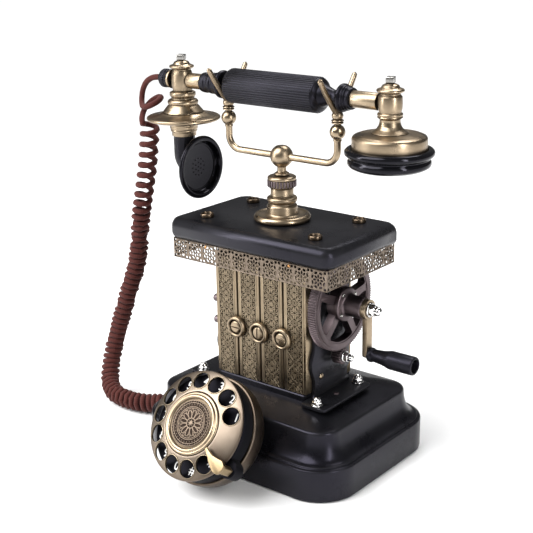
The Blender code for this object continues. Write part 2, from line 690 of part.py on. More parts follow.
def make_fork(name, side, parent):
    place = at(side * FORK_X, 0, -CRADLE_BALL_Z)
    ball_z, ball_r, knob_z, knob_r = KNUCKLE_Z, KNUCKLE_RADIUS, KNOB_Z, KNOB_RADIUS
    low = math.acos(-(ball_r - 0.4 * MM) / ball_r)
    ball = [(ball_r * math.sin(a), ball_z + ball_r * math.cos(a))
            for a in (math.radians(25) + (low - math.radians(25)) * i / 6 for i in range(7))]
    body = as_mesh(turned(name, [
        (0, knob_z + knob_r - 0.6 * MM), (2 * MM, knob_z + knob_r - 1 * MM),
        (knob_r - 0.5 * MM, knob_z + 1.5 * MM), (knob_r, knob_z - 0.4 * MM),
        (knob_r - 1 * MM, knob_z - 3 * MM), (3.6 * MM, knob_z - 3.8 * MM),
        (3.6 * MM, knob_z - 4.9 * MM), (2.6 * MM, ball_z + ball_r + 0.6 * MM),
    ] + ball + [(0, ball[-1][1])], BRASS, place, parent, segments=SMALL_SEGMENTS))
    for direction in (-1, 1):
        route = []
        for i in range(9):
            t = i / 8
            spread = PRONG_HALF_SPREAD * (0.72 * math.sin(math.pi / 2 * t) + 0.28 * t ** 3)
            route.append((0, direction * spread, knob_z + (PRONG_TOP - knob_z) * t))
        prong = as_mesh(tube(f"{name}_prong_{direction}", route, PRONG_RADIUS, BRASS, place, parent, 2))
        boolean(body, prong, "UNION")


# ---------------------------------------------------------------- handset

def make_handset(parent):
    """Pieces are placed about the handset's axis, which is the parent's height."""
    zero = HANDSET_Z
    neck, grip_r = GRIP_NECK_RADIUS, GRIP_RADIUS
    left, right = GRIP_LEFT_END, GRIP_RIGHT_END
    fork_gap = PRONG_RADIUS + 0.8 * MM
    outline = [
        (0, right), (ARM_TUBE_RADIUS + 1.4 * MM, right), (7.6 * MM, right - 4 * MM),
        (8.6 * MM, right - 5 * MM), (9.4 * MM, FORK_X + fork_gap + 1.4 * MM),
        (8.4 * MM, FORK_X + fork_gap), (neck, FORK_X + fork_gap - 0.8 * MM), (neck, FORK_X - fork_gap),
        (8 * MM, GRIP_END + 2 * MM), (grip_r - 1.6 * MM, GRIP_END), (grip_r, GRIP_END - 2 * MM),
        (grip_r, GRIP_START + 4 * MM), (grip_r - 1.4 * MM, GRIP_START + 2.4 * MM),
        (neck, -FORK_X + fork_gap), (neck, -FORK_X - fork_gap + 0.8 * MM),
        (9.6 * MM, -FORK_X - fork_gap), (10.2 * MM, -FORK_X - fork_gap - 1.6 * MM),
        (9.6 * MM, -FORK_X - fork_gap - 3 * MM), (7 * MM, -FORK_X - 11.3 * MM), (7.4 * MM, left + 4 * MM),
        (ARM_TUBE_RADIUS + 1.2 * MM, left), (0, left),
    ]
    turned("grip", outline, BLACK_PLASTIC, along_x(), parent)

    joint = BARREL_RADIUS + GAP
    tubes = (("left", TRANSMITTER_X + joint, left - GAP), ("right", right + GAP, RECEIVER_X - joint))
    for name, start, end in tubes:
        profile = [(0, end), (ARM_TUBE_RADIUS, end), (ARM_TUBE_RADIUS, start), (0, start)]
        turned(f"handset_tube_{name}", profile,
               BRASS, along_x(), parent, segments=SMALL_SEGMENTS)

    for name, x, top in (("left", TRANSMITTER_X, TRANSMITTER_TOP), ("right", RECEIVER_X, RECEIVER_TOP)):
        bolt = box(f"head_bolt_{name}", (BOLT_SIDE, BOLT_SIDE, BOLT_HEIGHT), STEEL,
                   at(x, 0, top + GAP + BOLT_HEIGHT / 2 - zero), parent)
        bevel(bolt, 0.5 * MM)
    make_transmitter(zero, parent)
    make_receiver(zero, parent)

    wide, tip = GLAND_RADIUS, GLAND_TIP
    start = TRANSMITTER_X - BARREL_RADIUS - GAP
    turned("cord_gland", [
        (CORD_RADIUS - 1 * MM, -tip), (3.8 * MM, -tip), (4.6 * MM, -tip - 2 * MM),
        (wide - 0.8 * MM, -tip - 3 * MM), (wide, -tip - 4 * MM), (wide, -start + 4.6 * MM),
        (wide - 1 * MM, -start + 4 * MM), (wide - 1 * MM, -start + 1 * MM), (5 * MM, -start),
        (CORD_RADIUS - 1 * MM, -start),
    ], BLACK_PLASTIC, Matrix.Rotation(-math.pi / 2, 4, "Y"), parent, segments=SMALL_SEGMENTS, hollow=True)


def barrel_profile(top):
    """The domed top, disc and bulging barrel that both heads share, down to 0.4 mm above their rings."""
    return [
        (0, top), (3.6 * MM, top), (5.9 * MM, top - 1.6 * MM), (6.4 * MM, top - 2.2 * MM),
        (9.2 * MM, top - 3.8 * MM), (9.2 * MM, top - 5.4 * MM), (7.2 * MM, top - 6.6 * MM),
        (7.4 * MM, top - 7.6 * MM), (BARREL_RADIUS - 0.2 * MM, HANDSET_Z + 5 * MM),
        (BARREL_RADIUS, HANDSET_Z), (BARREL_RADIUS - 0.3 * MM, HANDSET_Z - 4 * MM),
    ]


def make_transmitter(zero, parent):
    place = at(TRANSMITTER_X, 0, -zero)
    disc_z, disc_r = FLANGE_DISC_Z, FLANGE_DISC_RADIUS
    seat = disc_z + 4.4 * MM
    turned("transmitter_body", barrel_profile(TRANSMITTER_TOP) + [
        (7.4 * MM, seat + 16.1 * MM), (7.2 * MM, seat + 15.7 * MM), (9.9 * MM, seat + 14.9 * MM),
        (9.9 * MM, seat + 11.7 * MM), (8.8 * MM, seat + 10.9 * MM), (8.8 * MM, seat + 9.9 * MM),
        (11.5 * MM, seat + 8.9 * MM), (11.5 * MM, seat + 6.1 * MM), (12.2 * MM, seat + 4.5 * MM),
        (14.6 * MM, seat + 1.4 * MM), (15.6 * MM, seat), (0, seat),
    ], BRASS, place, parent)
    low = HORN_TOP + GAP
    turned("transmitter_flange", [
        (0, seat - GAP), (16.4 * MM, seat - GAP), (20.5 * MM, disc_z + 1.9 * MM),
        (disc_r - 2 * MM, disc_z + 1.3 * MM), (disc_r, disc_z + 0.3 * MM), (disc_r, disc_z - 0.9 * MM),
        (disc_r - 4 * MM, disc_z - 2.4 * MM), (11 * MM, disc_z - 3 * MM), (10.6 * MM, disc_z - 5 * MM),
        (10.6 * MM, low + 5.4 * MM), (9.3 * MM, low + 4 * MM), (9.3 * MM, low), (0, low),
    ], BRASS, place, parent)

    bend, mouth_z = HORN_BEND, MOUTH_Z
    face, rim = MOUTH_FACE_X, MOUTH_RADIUS
    flare_start = face - 8.4 * MM
    turn = [(TRANSMITTER_X + bend * (1 - math.cos(a)), 0, mouth_z + bend * (1 - math.sin(a)) - zero)
            for a in (math.pi / 2 * i / 7 for i in range(8))]
    horn_end = (flare_start - GAP, 0, mouth_z - zero)
    path = [(TRANSMITTER_X, 0, HORN_TOP - zero)] + turn + [horn_end]
    tube("horn", path, HORN_RADIUS, BLACK_GLOSS, None, parent, 4)

    inner, dish = MOUTH_INNER_RADIUS, face - MOUTH_DEPTH
    turned("mouthpiece", [
        (0, dish), (inner - 1 * MM, dish), (inner, face - 0.6 * MM), (inner + 1 * MM, face),
        (rim - 1 * MM, face), (rim, face - 1.2 * MM), (rim - 0.4 * MM, face - 2.8 * MM),
        (rim - 4 * MM, face - 4.4 * MM), (13 * MM, face - 7 * MM),
        (HORN_RADIUS + 0.4 * MM, flare_start), (0, flare_start),
    ], BLACK_GLOSS, along_x(0, 0, mouth_z - zero), parent)


def make_receiver(zero, parent):
    place = at(RECEIVER_X, 0, -zero)
    seat, drum = DRUM_TOP, DRUM_RADIUS
    turned("receiver_body", barrel_profile(RECEIVER_TOP) + [
        (7.6 * MM, seat + 14 * MM), (8.4 * MM, seat + 13 * MM), (8.4 * MM, seat + 10.6 * MM),
        (7 * MM, seat + 9.8 * MM), (7.4 * MM, seat + 6.6 * MM), (8.6 * MM, seat + 3.6 * MM),
        (11.6 * MM, seat + 1 * MM), (12.6 * MM, seat + GAP), (0, seat + GAP),
    ], BRASS, place, parent)
    ear, top, bottom = EAR_RADIUS, EAR_TOP, EAR_BOTTOM
    split = top - 3 * MM
    turned("receiver_drum", [
        (0, seat), (14 * MM, seat), (drum - 3 * MM, seat - 1.2 * MM), (drum - 0.6 * MM, seat - 2.4 * MM),
        (drum, seat - 4 * MM), (drum, split), (0, split),
    ], BRASS, place, parent)
    turned("ear_cap", [
        (0, split - GAP), (drum + GAP, split - GAP), (drum + GAP, top - 0.8 * MM),
        (drum + 1.6 * MM, top), (ear - 1 * MM, top - 1 * MM), (ear, top - 3 * MM),
        (ear - 1 * MM, top - 5 * MM), (ear - 3 * MM, top - 6.2 * MM), (ear - 3.2 * MM, top - 7.4 * MM),
        (ear - 2.2 * MM, top - 8.6 * MM), (ear - 2.4 * MM, top - 11 * MM),
        (ear - 4.6 * MM, bottom + 0.6 * MM), (ear - 7 * MM, bottom), (ear - 9 * MM, bottom),
        (ear - 11 * MM, bottom + 1.6 * MM), (0, bottom + 1.6 * MM),
    ], BLACK_PLASTIC, place, parent)


# ---------------------------------------------------------------- crank and gears

def pinion_z():
    return CRANK_Z - MODULE * (GEAR_TEETH + PINION_TEETH) / 2 - MESH_CLEARANCE


def toothed_outline(teeth, phase):
    """Straight-sided teeth on the pitch circle, with running clearance at tip, root and flank."""
    pitch_radius = MODULE * teeth / 2
    tip, root = pitch_radius + 0.72 * MODULE, pitch_radius - 0.98 * MODULE
    step = 2 * math.pi / teeth
    points = []
    for i in range(teeth):
        middle = phase + i * step
        for radius, share in ((root, -0.31), (tip, -0.11), (tip, 0.11), (root, 0.31)):
            angle = middle + share * step
            points.append((radius * math.cos(angle), radius * math.sin(angle)))
    return points


def spoke_opening(middle, inner, outer, half_spoke):
    """An opening between two spokes: two arcs joined by straight sides parallel to the spokes."""
    half = math.pi / GEAR_SPOKES
    low, high = half - math.asin(half_spoke / inner), half - math.asin(half_spoke / outer)
    out_arc = arc((0, 0), outer, middle - high, middle + high, 6)
    in_arc = arc((0, 0), inner, middle + low, middle - low, 3)
    return out_arc + in_arc


def make_crank(parent, grip_parent):
    """Local X of the parent is the crank's axis; flat pieces are drawn in its YZ plane."""
    upright = Matrix(((0, 0, 1, 0), (1, 0, 0, 0), (0, 1, 0, 0), (0, 0, 0, 1)))
    tip_gear = MODULE * GEAR_TEETH / 2
    half_step = 2 * math.pi / GEAR_SPOKES
    openings = [
        spoke_opening(GEAR_FIRST_SPOKE + half_step * (i + 0.5), HUB_RADIUS - 0.8 * MM, tip_gear - GEAR_RIM,
                      GEAR_SPOKE_WIDTH / 2)
        for i in range(GEAR_SPOKES)
    ]
    bore = circle(CRANK_SHAFT_RADIUS + GAP)
    gear_x = GEAR_INNER_X + GEAR_THICKNESS / 2
    flat("drive_gear", [toothed_outline(GEAR_TEETH, -math.pi / 2), bore] + openings, GEAR_THICKNESS,
         GUNMETAL, at(gear_x) @ upright, parent)

    left_end = -(ROW_HALF_WIDTH + PLATE_THICKNESS + 3 * MM)
    hub = GEAR_INNER_X + GEAR_THICKNESS + GAP
    shaft, sleeve = CRANK_SHAFT_RADIUS, SLEEVE_RADIUS
    arm_x = SLEEVE_END_X + GAP
    turned("crank_shaft", [
        (0, arm_x + ARM_THICKNESS), (shaft, arm_x + ARM_THICKNESS), (shaft, SLEEVE_END_X),
        (sleeve, SLEEVE_END_X), (sleeve, hub + HUB_THICKNESS + 0.6 * MM),
        (HUB_RADIUS - 1 * MM, hub + HUB_THICKNESS), (HUB_RADIUS, hub + HUB_THICKNESS - 1 * MM),
        (HUB_RADIUS, hub), (shaft, hub), (shaft, left_end), (0, left_end),
    ], GUNMETAL, along_x(), parent, segments=24)

    boss, half = ARM_BOSS_RADIUS, ARM_WIDTH / 2
    shoulder = math.asin(half / boss)
    outline = arc((0, 0), boss, -math.pi / 2 + shoulder, 1.5 * math.pi - shoulder, 14)
    outline += arc((0, -ARM_LENGTH), half, math.pi, 2 * math.pi, 6)
    arm = as_mesh(flat("crank_arm", [outline, bore], ARM_THICKNESS, BRASS,
                       at(arm_x + ARM_THICKNESS / 2) @ upright, parent))
    pin_length = GRIP_PIN_LENGTH + ARM_THICKNESS / 2
    pin = cylinder("grip_pin", GRIP_PIN_RADIUS, pin_length, None,
                   along_x(arm_x + ARM_THICKNESS / 2 + pin_length / 2, 0, -ARM_LENGTH), parent, 12)
    boolean(arm, pin, "UNION")
    outer_x = arm_x + ARM_THICKNESS + GAP
    acorn_nut("crank_nut", CRANK_NUT_RADIUS, CRANK_NUT_LENGTH, along_x(outer_x), parent)

    length, wide, hole = CRANK_GRIP_LENGTH, CRANK_GRIP_RADIUS, GRIP_PIN_RADIUS + GAP
    depth = GRIP_PIN_LENGTH + 1 * MM
    start = outer_x
    turned("crank_grip", [
        (0, start + length - 4 * MM), (wide - 1.8 * MM, start + length - 4 * MM),
        (wide - 1.6 * MM, start + length), (wide - 0.4 * MM, start + length),
        (wide, start + length - 0.8 * MM), (wide, start + length - 20 * MM),
        (wide - 0.7 * MM, start + length - 22.4 * MM), (4.6 * MM, start + 3.4 * MM),
        (5.4 * MM, start + 2.6 * MM), (5.4 * MM, start), (hole, start), (hole, start + depth),
        (0, start + depth),
    ], BLACK_PLASTIC, along_x(), grip_parent, segments=20)


def make_pinion(parent):
    upright = Matrix(((0, 0, 1, 0), (1, 0, 0, 0), (0, 1, 0, 0), (0, 0, 0, 1)))
    phase = math.pi / 2 + math.pi / PINION_TEETH
    start = GEAR_INNER_X - 0.4 * MM
    bore = circle(PINION_SHAFT_RADIUS + GAP, 12)
    flat("pinion", [toothed_outline(PINION_TEETH, phase), bore], PINION_LENGTH, GUNMETAL,
         at(start + PINION_LENGTH / 2) @ upright, parent)
    shaft, core = PINION_SHAFT_RADIUS, ARMATURE_HALF_LENGTH
    tip = start + PINION_LENGTH + 8.4 * MM
    left_end = -(ROW_HALF_WIDTH + PLATE_THICKNESS + 2 * MM)
    nut_r, nut_foot = 4.2 * MM, start + PINION_LENGTH + GAP
    turned("armature", [
        (0, tip), (1.6 * MM, tip - 0.5 * MM), (2.5 * MM, tip - 2.4 * MM),
        (2.7 * MM, nut_foot + 3.6 * MM), (nut_r - 0.6 * MM, nut_foot + 3.4 * MM),
        (nut_r, nut_foot + 1 * MM), (nut_r, nut_foot), (shaft, nut_foot), (shaft, core + 1.6 * MM),
        (ARMATURE_RADIUS - 3 * MM, core), (ARMATURE_RADIUS, core - 3 * MM),
        (ARMATURE_RADIUS, -core + 3 * MM), (ARMATURE_RADIUS - 3 * MM, -core), (shaft, -core - 1.6 * MM),
        (shaft, left_end), (0, left_end),
    ], STEEL, along_x(), parent, segments=20)


# ---------------------------------------------------------------- dial

def dome_height(radius):
    return WHEEL_DOME * (1 - (radius / WHEEL_RADIUS) ** WHEEL_DOME_POWER)


def make_finger_wheel(parent):
    recess, thick = WHEEL_RECESS_RADIUS, WHEEL_THICKNESS
    radii = [WHEEL_RADIUS - (WHEEL_RADIUS - recess) * i / 6 for i in range(7)]
    floor = dome_height(recess) - thick
    top = [(radius, dome_height(radius)) for radius in reversed(radii)]
    rim = [(WHEEL_RADIUS, -thick)]
    under = [(radius - 0.8 * MM, dome_height(radius) - thick) for radius in radii[1:]]
    inside = [(WHEEL_BORE_RADIUS, floor - thick), (WHEEL_BORE_RADIUS, floor - GAP), (recess, floor - GAP)]
    wheel = turned("finger_wheel", top + rim + [(WHEEL_RADIUS - 1.4 * MM, -thick)] + under + inside,
                   BRASS, None, parent, segments=42, hollow=True)
    data = bpy.data.meshes.new("finger_holes")
    shape = bmesh.new()
    for i in range(FINGER_HOLES):
        angle = FIRST_FINGER_HOLE + i * FINGER_PITCH
        centre = at(FINGER_CIRCLE_RADIUS * math.cos(angle), FINGER_CIRCLE_RADIUS * math.sin(angle), 0)
        bmesh.ops.create_cone(shape, cap_ends=True, segments=SMALL_SEGMENTS, radius1=FINGER_HOLE_RADIUS,
                              radius2=FINGER_HOLE_RADIUS, depth=20 * MM, matrix=centre)
    shape.to_mesh(data)
    shape.free()
    boolean(wheel, add_object("finger_holes", data, None, None, parent), "DIFFERENCE")

    cap, high = CAP_RADIUS, CAP_TOP
    turned("dial_cap", [
        (0, high - 0.7 * MM), (cap - 5.6 * MM, high - 0.7 * MM), (cap - 4.6 * MM, high - 1.6 * MM),
        (cap - 3.4 * MM, high), (cap - 1.4 * MM, high - 0.4 * MM), (cap, high - 2 * MM), (cap, floor),
        (0, floor),
    ], BRASS, None, parent)


def make_dial_case(parent):
    front, back, plate_r = NUMBER_PLATE_FRONT, NUMBER_PLATE_BACK, NUMBER_PLATE_RADIUS
    plate = as_mesh(turned("number_plate", [
        (0, front), (plate_r - 0.8 * MM, front), (plate_r, front - 0.8 * MM), (plate_r, back), (0, back),
    ], BLACK_PLASTIC, None, parent, segments=40))
    swing = Matrix.Rotation(STOP_ANGLE, 4, "Z")
    lug_length, lug_width = 12 * MM, 13 * MM
    lug_z = (front + back) / 2
    outer = STOP_OUTER_RADIUS + 1 * MM
    lug = box("stop_lug", (lug_length, lug_width, front - back - 2 * MM), None,
              swing @ at(outer - lug_length / 2, 0, lug_z), parent)
    bevel(lug, 2 * MM)
    boolean(plate, lug, "UNION")

    tip, heel, thick = STOP_INNER_RADIUS, STOP_OUTER_RADIUS, STOP_THICKNESS
    leaf = [(tip, -1 * MM), (tip + 8 * MM, -2.6 * MM), (heel - 6 * MM, -5 * MM), (heel - 1 * MM, -4.4 * MM),
            (heel, -2 * MM), (heel, 2 * MM), (heel - 1 * MM, 4.4 * MM), (heel - 7 * MM, 4 * MM),
            (tip + 8 * MM, 1.4 * MM), (tip, 1 * MM)]
    stop = as_mesh(flat("finger_stop", [leaf], thick, BRASS, swing @ at(0, 0, STOP_Z + thick / 2), parent))
    post_foot = front - 1 * MM + GAP
    post_top = STOP_Z + thick / 2
    post_depth = heel - WHEEL_RADIUS - 1.4 * MM
    post = box("stop_post", (post_depth, 6 * MM, post_top - post_foot), None,
               swing @ at(heel - 0.4 * MM - post_depth / 2, 0, (post_top + post_foot) / 2), parent)
    boolean(stop, post, "UNION")

    rim, depth, wall = DIAL_HOUSING_RADIUS, DIAL_HOUSING_DEPTH, DIAL_HOUSING_WALL
    start = back - GAP
    rounds = [(rim * math.cos(a), start - 6 * MM - (depth - 6 * MM) * math.sin(a))
              for a in (math.radians(50) * i / 7 for i in range(8))]
    inner = [(radius - wall, z) for radius, z in reversed(rounds)]
    profile = [(rim - 0.6 * MM, start), (rim, start - 0.6 * MM)] + rounds + inner + [(rim - wall, start)]
    housing = as_mesh(turned("dial_housing", profile, BRASS, None, parent, segments=40, hollow=True))
    boolean(housing, loft("base_space", base_sections(GAP), None, closed_bottom=True), "DIFFERENCE")


# ---------------------------------------------------------------- cord

def make_cord(handset):
    lead = [Vector(p) * MM - Vector((0, 0, HANDSET_Z)) for p in LEAD_POINTS]
    tube("cord_lead", smooth_route(lead, 3 * CORD_RADIUS), CORD_RADIUS, CORD_BROWN, None, handset, 2)
    coil = [Vector(p) * MM for p in COIL_POINTS]
    tube("cord_coil", smooth_route(coil, 1.1 * COIL_RADIUS), COIL_RADIUS, CORD_BROWN, None, None, 3)


def axis_empty(name, place):
    item = bpy.data.objects.new(name, None)
    PARTS.objects.link(item)
    item.matrix_basis = place
    return item


clear_scene()
PARTS = new_collection("rotary_telephone")
CUTTERS = new_collection("cutters")
BLACK_LACQUER = new_material("black_lacquer", (0.02, 0.02, 0.025), 0.35, 0.0)
BLACK_PLASTIC = new_material("black_plastic", (0.015, 0.015, 0.018), 0.4, 0.0)
BLACK_GLOSS = new_material("black_gloss", (0.01, 0.01, 0.012), 0.12, 0.0)
BRASS = new_material("aged_brass", (0.45, 0.35, 0.2), 0.35, 1.0)
GUNMETAL = new_material("gunmetal", (0.16, 0.13, 0.14), 0.45, 0.9)
STEEL = new_material("steel", (0.55, 0.54, 0.52), 0.35, 1.0)
DARK_STEEL = new_material("dark_steel", (0.08, 0.08, 0.09), 0.5, 0.8)
CHROME = new_material("chrome", (0.8, 0.8, 0.82), 0.08, 1.0)
GREEN_BOARD = new_material("board", (0.05, 0.2, 0.1), 0.5, 0.0)
CORD_BROWN = new_material("cord_textile", (0.2, 0.06, 0.05), 0.8, 0.0)

dial_place = Matrix.Translation(DIAL_CENTRE) @ Matrix.Rotation(math.pi / 2 - DIAL_TILT, 4, "X")
dial_axis = axis_empty("dial_axis", dial_place)
crank_axis = axis_empty("crank_axis", at(0, 0, CRANK_Z))
grip_axis = axis_empty("grip_axis", at(0, 0, CRANK_Z - ARM_LENGTH))
pinion_axis = axis_empty("pinion_axis", at(0, 0, pinion_z()))
cradle_slide = axis_empty("cradle_slide", at(0, 0, CRADLE_BALL_Z))
handset_lift = axis_empty("handset_lift", at(0, 0, HANDSET_Z))

make_base()
make_magnets()
make_side_plates()
make_lid()
make_cradle(make_pedestal(), cradle_slide)
make_handset(handset_lift)
make_crank(crank_axis, grip_axis)
make_pinion(pinion_axis)
make_finger_wheel(dial_axis)
make_dial_case(dial_axis)
make_cord(handset_lift)
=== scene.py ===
"""Antique-style desk telephone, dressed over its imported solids: finishes, relief, knurls, cord and studio."""

import math

import bmesh
import bpy
from bpy.props import FloatProperty, FloatVectorProperty, IntProperty, PointerProperty
from mathutils import Matrix, Vector


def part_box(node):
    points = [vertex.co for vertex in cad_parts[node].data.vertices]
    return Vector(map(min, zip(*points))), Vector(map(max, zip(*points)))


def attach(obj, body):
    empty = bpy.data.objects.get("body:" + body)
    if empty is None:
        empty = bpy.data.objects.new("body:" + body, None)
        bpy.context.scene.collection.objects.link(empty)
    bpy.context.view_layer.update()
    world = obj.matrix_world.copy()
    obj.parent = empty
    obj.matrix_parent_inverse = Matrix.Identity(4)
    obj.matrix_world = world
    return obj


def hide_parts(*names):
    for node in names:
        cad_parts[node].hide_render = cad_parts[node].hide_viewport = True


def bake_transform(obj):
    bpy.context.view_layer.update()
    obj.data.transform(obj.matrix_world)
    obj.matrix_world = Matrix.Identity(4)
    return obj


bl_info = {
    "name": "Antique Desk Telephone",
    "version": (1, 0, 0),
    "blender": (4, 5, 0),
    "location": "3D View > Sidebar > Telephone",
    "description": "Builds a rotary desk telephone with a hand crank, cradle, horn handset and curly cord",
    "category": "Object",
}

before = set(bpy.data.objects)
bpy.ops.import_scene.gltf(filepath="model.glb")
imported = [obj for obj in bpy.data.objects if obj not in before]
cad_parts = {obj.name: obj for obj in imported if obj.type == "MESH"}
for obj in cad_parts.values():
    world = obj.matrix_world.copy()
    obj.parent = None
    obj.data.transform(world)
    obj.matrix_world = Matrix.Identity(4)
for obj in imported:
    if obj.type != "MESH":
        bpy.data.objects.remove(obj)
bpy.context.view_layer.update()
MM = 0.001
TURN = 2 * math.pi
QUARTER = math.pi / 2
ROOT = "base_frame"

DIAL_CENTRE = Vector((0, -99.7 * MM, 51.3 * MM))
DIAL_TILT = math.radians(34.5)
DIAL_PLACE = Matrix.Translation(DIAL_CENTRE) @ Matrix.Rotation(QUARTER - DIAL_TILT, 4, "X")
UPRIGHT = Matrix(((0, 0, 1, 0), (1, 0, 0, 0), (0, 1, 0, 0), (0, 0, 0, 1)))
FACING_FRONT = Matrix.Rotation(QUARTER, 4, "X")
ALONG_X = Matrix.Rotation(QUARTER, 4, "Y")
AGAINST_X = Matrix.Rotation(-QUARTER, 4, "Y")

LEAD_POINTS = [
    (-116.2, 0.0, 269.7), (-121.0, 0.0, 269.6), (-126.5, 0.0, 268.2), (-132.0, 0.3, 264.8),
    (-136.2, 0.8, 259.6), (-138.2, 1.0, 254.0), (-137.0, -0.8, 249.0), (-132.5, -4.2, 246.6),
    (-126.5, -6.0, 247.2), (-121.4, -4.4, 249.4), (-119.4, 0.0, 251.8), (-121.4, 4.6, 253.4),
    (-126.5, 6.4, 252.8), (-132.0, 5.2, 249.8), (-135.6, 2.6, 245.4),
]
COIL_POINTS = [
    (-130.4, 0.0, 240.4), (-130.7, 0.0, 227.6), (-134.3, 0.0, 203.3),
    (-138.0, 0.0, 186.6), (-142.2, 0.0, 169.6), (-145.6, 0.0, 154.1), (-149.7, 0.0, 129.7),
    (-153.5, -0.5, 112.2), (-159.0, -3.0, 95.0), (-165.4, -5.4, 74.7), (-170.7, -8.0, 56.7),
    (-173.8, -12.0, 39.0), (-173.0, -17.5, 24.5), (-167.6, -24.4, 13.6), (-156.5, -30.6, 8.9),
    (-141.5, -33.2, 8.4), (-125.5, -31.2, 8.4), (-114.0, -26.0, 8.8),
    (-105.6, -22.9, 9.7), (-96.9, -22.0, 10.0),
]

FORK_X = 48.7 * MM
CRANK_Z = 123.4 * MM
PINION_Z = 83.03 * MM
RECEIVER_X = 90.8 * MM
FINGER_CIRCLE = 31.1 * MM
WHEEL_RIM = 39.2 * MM
HANDSET_Z = 269.7 * MM

GROUPS = {}
TREES = {}
FINISHES = {}


# ---------------------------------------------------------------- what a user can change

def colour_setting(name, description, default):
    return FloatVectorProperty(name=name, description=description, subtype="COLOR", size=3, min=0, max=1,
                               default=default)


class PhoneFinishes(bpy.types.PropertyGroup):
    brass: colour_setting("Brass", "Colour of the aged brass on its worn faces", (0.33, 0.257, 0.175))
    # This dark colour is patina and painted shade at once: the finishes mix it in where the recess mask finds nearby
    # surfaces.
    patina_and_shade: colour_setting("Patina", "Colour of the dark patina in the recesses", (0.016, 0.012, 0.009))
    champagne: colour_setting("Dial metal", "Colour of the brushed metal of the dial", (0.235, 0.19, 0.148))
    lacquer: colour_setting("Lacquer", "Colour of the satin lacquer on the base and lid", (0.0035, 0.0035, 0.0045))
    iron: colour_setting("Gear metal", "Colour of the blackened gears and crank", (0.115, 0.09, 0.095))
    cord: colour_setting("Cord", "Colour of the braided textile cord", (0.075, 0.016, 0.012))


class PhoneSizes(bpy.types.PropertyGroup):
    strand: FloatProperty(
        name="Cord thickness", description="Diameter of the braided strand", unit="LENGTH",
        default=4.5 * MM, min=3 * MM, max=6 * MM)
    coil: FloatProperty(
        name="Coil width", description="Outer diameter of the curly cord", unit="LENGTH",
        default=16 * MM, min=10 * MM, max=20 * MM)
    open_pitch: FloatProperty(
        name="Open pitch", description="Rise of a turn where the cord hangs open", unit="LENGTH",
        default=8.6 * MM, min=4.8 * MM, max=12 * MM)
    closed_pitch: FloatProperty(
        name="Closed pitch", description="Rise of a turn where the cord lies closed", unit="LENGTH",
        default=4.75 * MM, min=4.6 * MM, max=8 * MM)
    tile_rows: IntProperty(
        name="Relief rows", description="Relief tiles up the face of a magnet", default=6, min=2, max=12)
    rosettes_front: IntProperty(
        name="Front rosettes", description="Pierced rosettes along a long side of the frieze",
        default=10, min=4, max=20)
    rosettes_side: IntProperty(
        name="Side rosettes", description="Pierced rosettes along a short side of the frieze",
        default=6, min=2, max=12)
    flutes: IntProperty(
        name="Flutes", description="Raised ribs around the handset grip", default=44, min=12, max=90)


# ---------------------------------------------------------------- mesh helpers

def mm(*values):
    """The values in metres, from millimetres."""
    return tuple(value * MM for value in values)


def pairs(*points):
    """A list of points in metres, from millimetres."""
    return [mm(*point) for point in points]


def moved(x=0, y=0, z=0):
    """A shift given in metres."""
    return Matrix.Translation((x, y, z))

def add_mesh(name, data):
    item = bpy.data.objects.new(name, data)
    bpy.context.scene.collection.objects.link(item)
    return item


def from_shape(name, shape):
    data = bpy.data.meshes.new(name)
    shape.to_mesh(data)
    shape.free()
    return add_mesh(name, data)


def settle(item):
    """Leaves a plain mesh at the origin, with the modifiers and the place taken into it."""
    bpy.context.view_layer.update()
    graph = bpy.context.evaluated_depsgraph_get()
    data = bpy.data.meshes.new_from_object(item.evaluated_get(graph), depsgraph=graph)
    data.transform(item.matrix_world)
    name = item.name
    bpy.data.objects.remove(item)
    return add_mesh(name, data)


def weld(item):
    shape = bmesh.new()
    shape.from_mesh(item.data)
    bmesh.ops.remove_doubles(shape, verts=shape.verts, dist=0.002 * MM)
    bmesh.ops.recalc_face_normals(shape, faces=shape.faces)
    shape.to_mesh(item.data)
    shape.free()
    return item


def bevelled(item, width, segments=2, angle=35):
    step = item.modifiers.new("rounded edges", "BEVEL")
    step.width = width
    step.segments = segments
    step.limit_method = "ANGLE"
    step.angle_limit = math.radians(angle)
    return settle(item)


def boolean(item, other):
    """The item with the other piece taken out of it."""
    step = item.modifiers.new("cut", "BOOLEAN")
    step.operation = "DIFFERENCE"
    step.solver = "EXACT"
    step.object = other
    item = settle(item)
    bpy.data.objects.remove(other)
    return item


def dress(item, body, finish, *nodes, slot=None, angle=38):
    """Gives a finished piece its shading, finish and body, and hides the CAD nodes it stands for."""
    item.data.shade_smooth()
    item.data.set_sharp_from_angle(angle=math.radians(angle))
    item.data.materials.clear()
    item.data.materials.append(FINISHES[finish])
    if nodes:
        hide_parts(*nodes)
    if body:
        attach(item, body)
    return item


def filleted(profile, radius, steps=2):
    """The profile with its inner corners rounded to about the given size."""
    points = [Vector(p) for p in profile]
    result = [points[0]]
    for before, corner, after in zip(points, points[1:], points[2:]):
        back, on = before - corner, after - corner
        reach = min(radius, 0.45 * back.length, 0.45 * on.length)
        if reach < 1e-6 or back.angle(on, 0) > math.radians(172):
            result.append(corner)
            continue
        start, end = corner + back.normalized() * reach, corner + on.normalized() * reach
        for i in range(steps + 1):
            t = i / steps
            result.append((1 - t) ** 2 * start + 2 * t * (1 - t) * corner + t * t * end)
    result.append(points[-1])
    return result


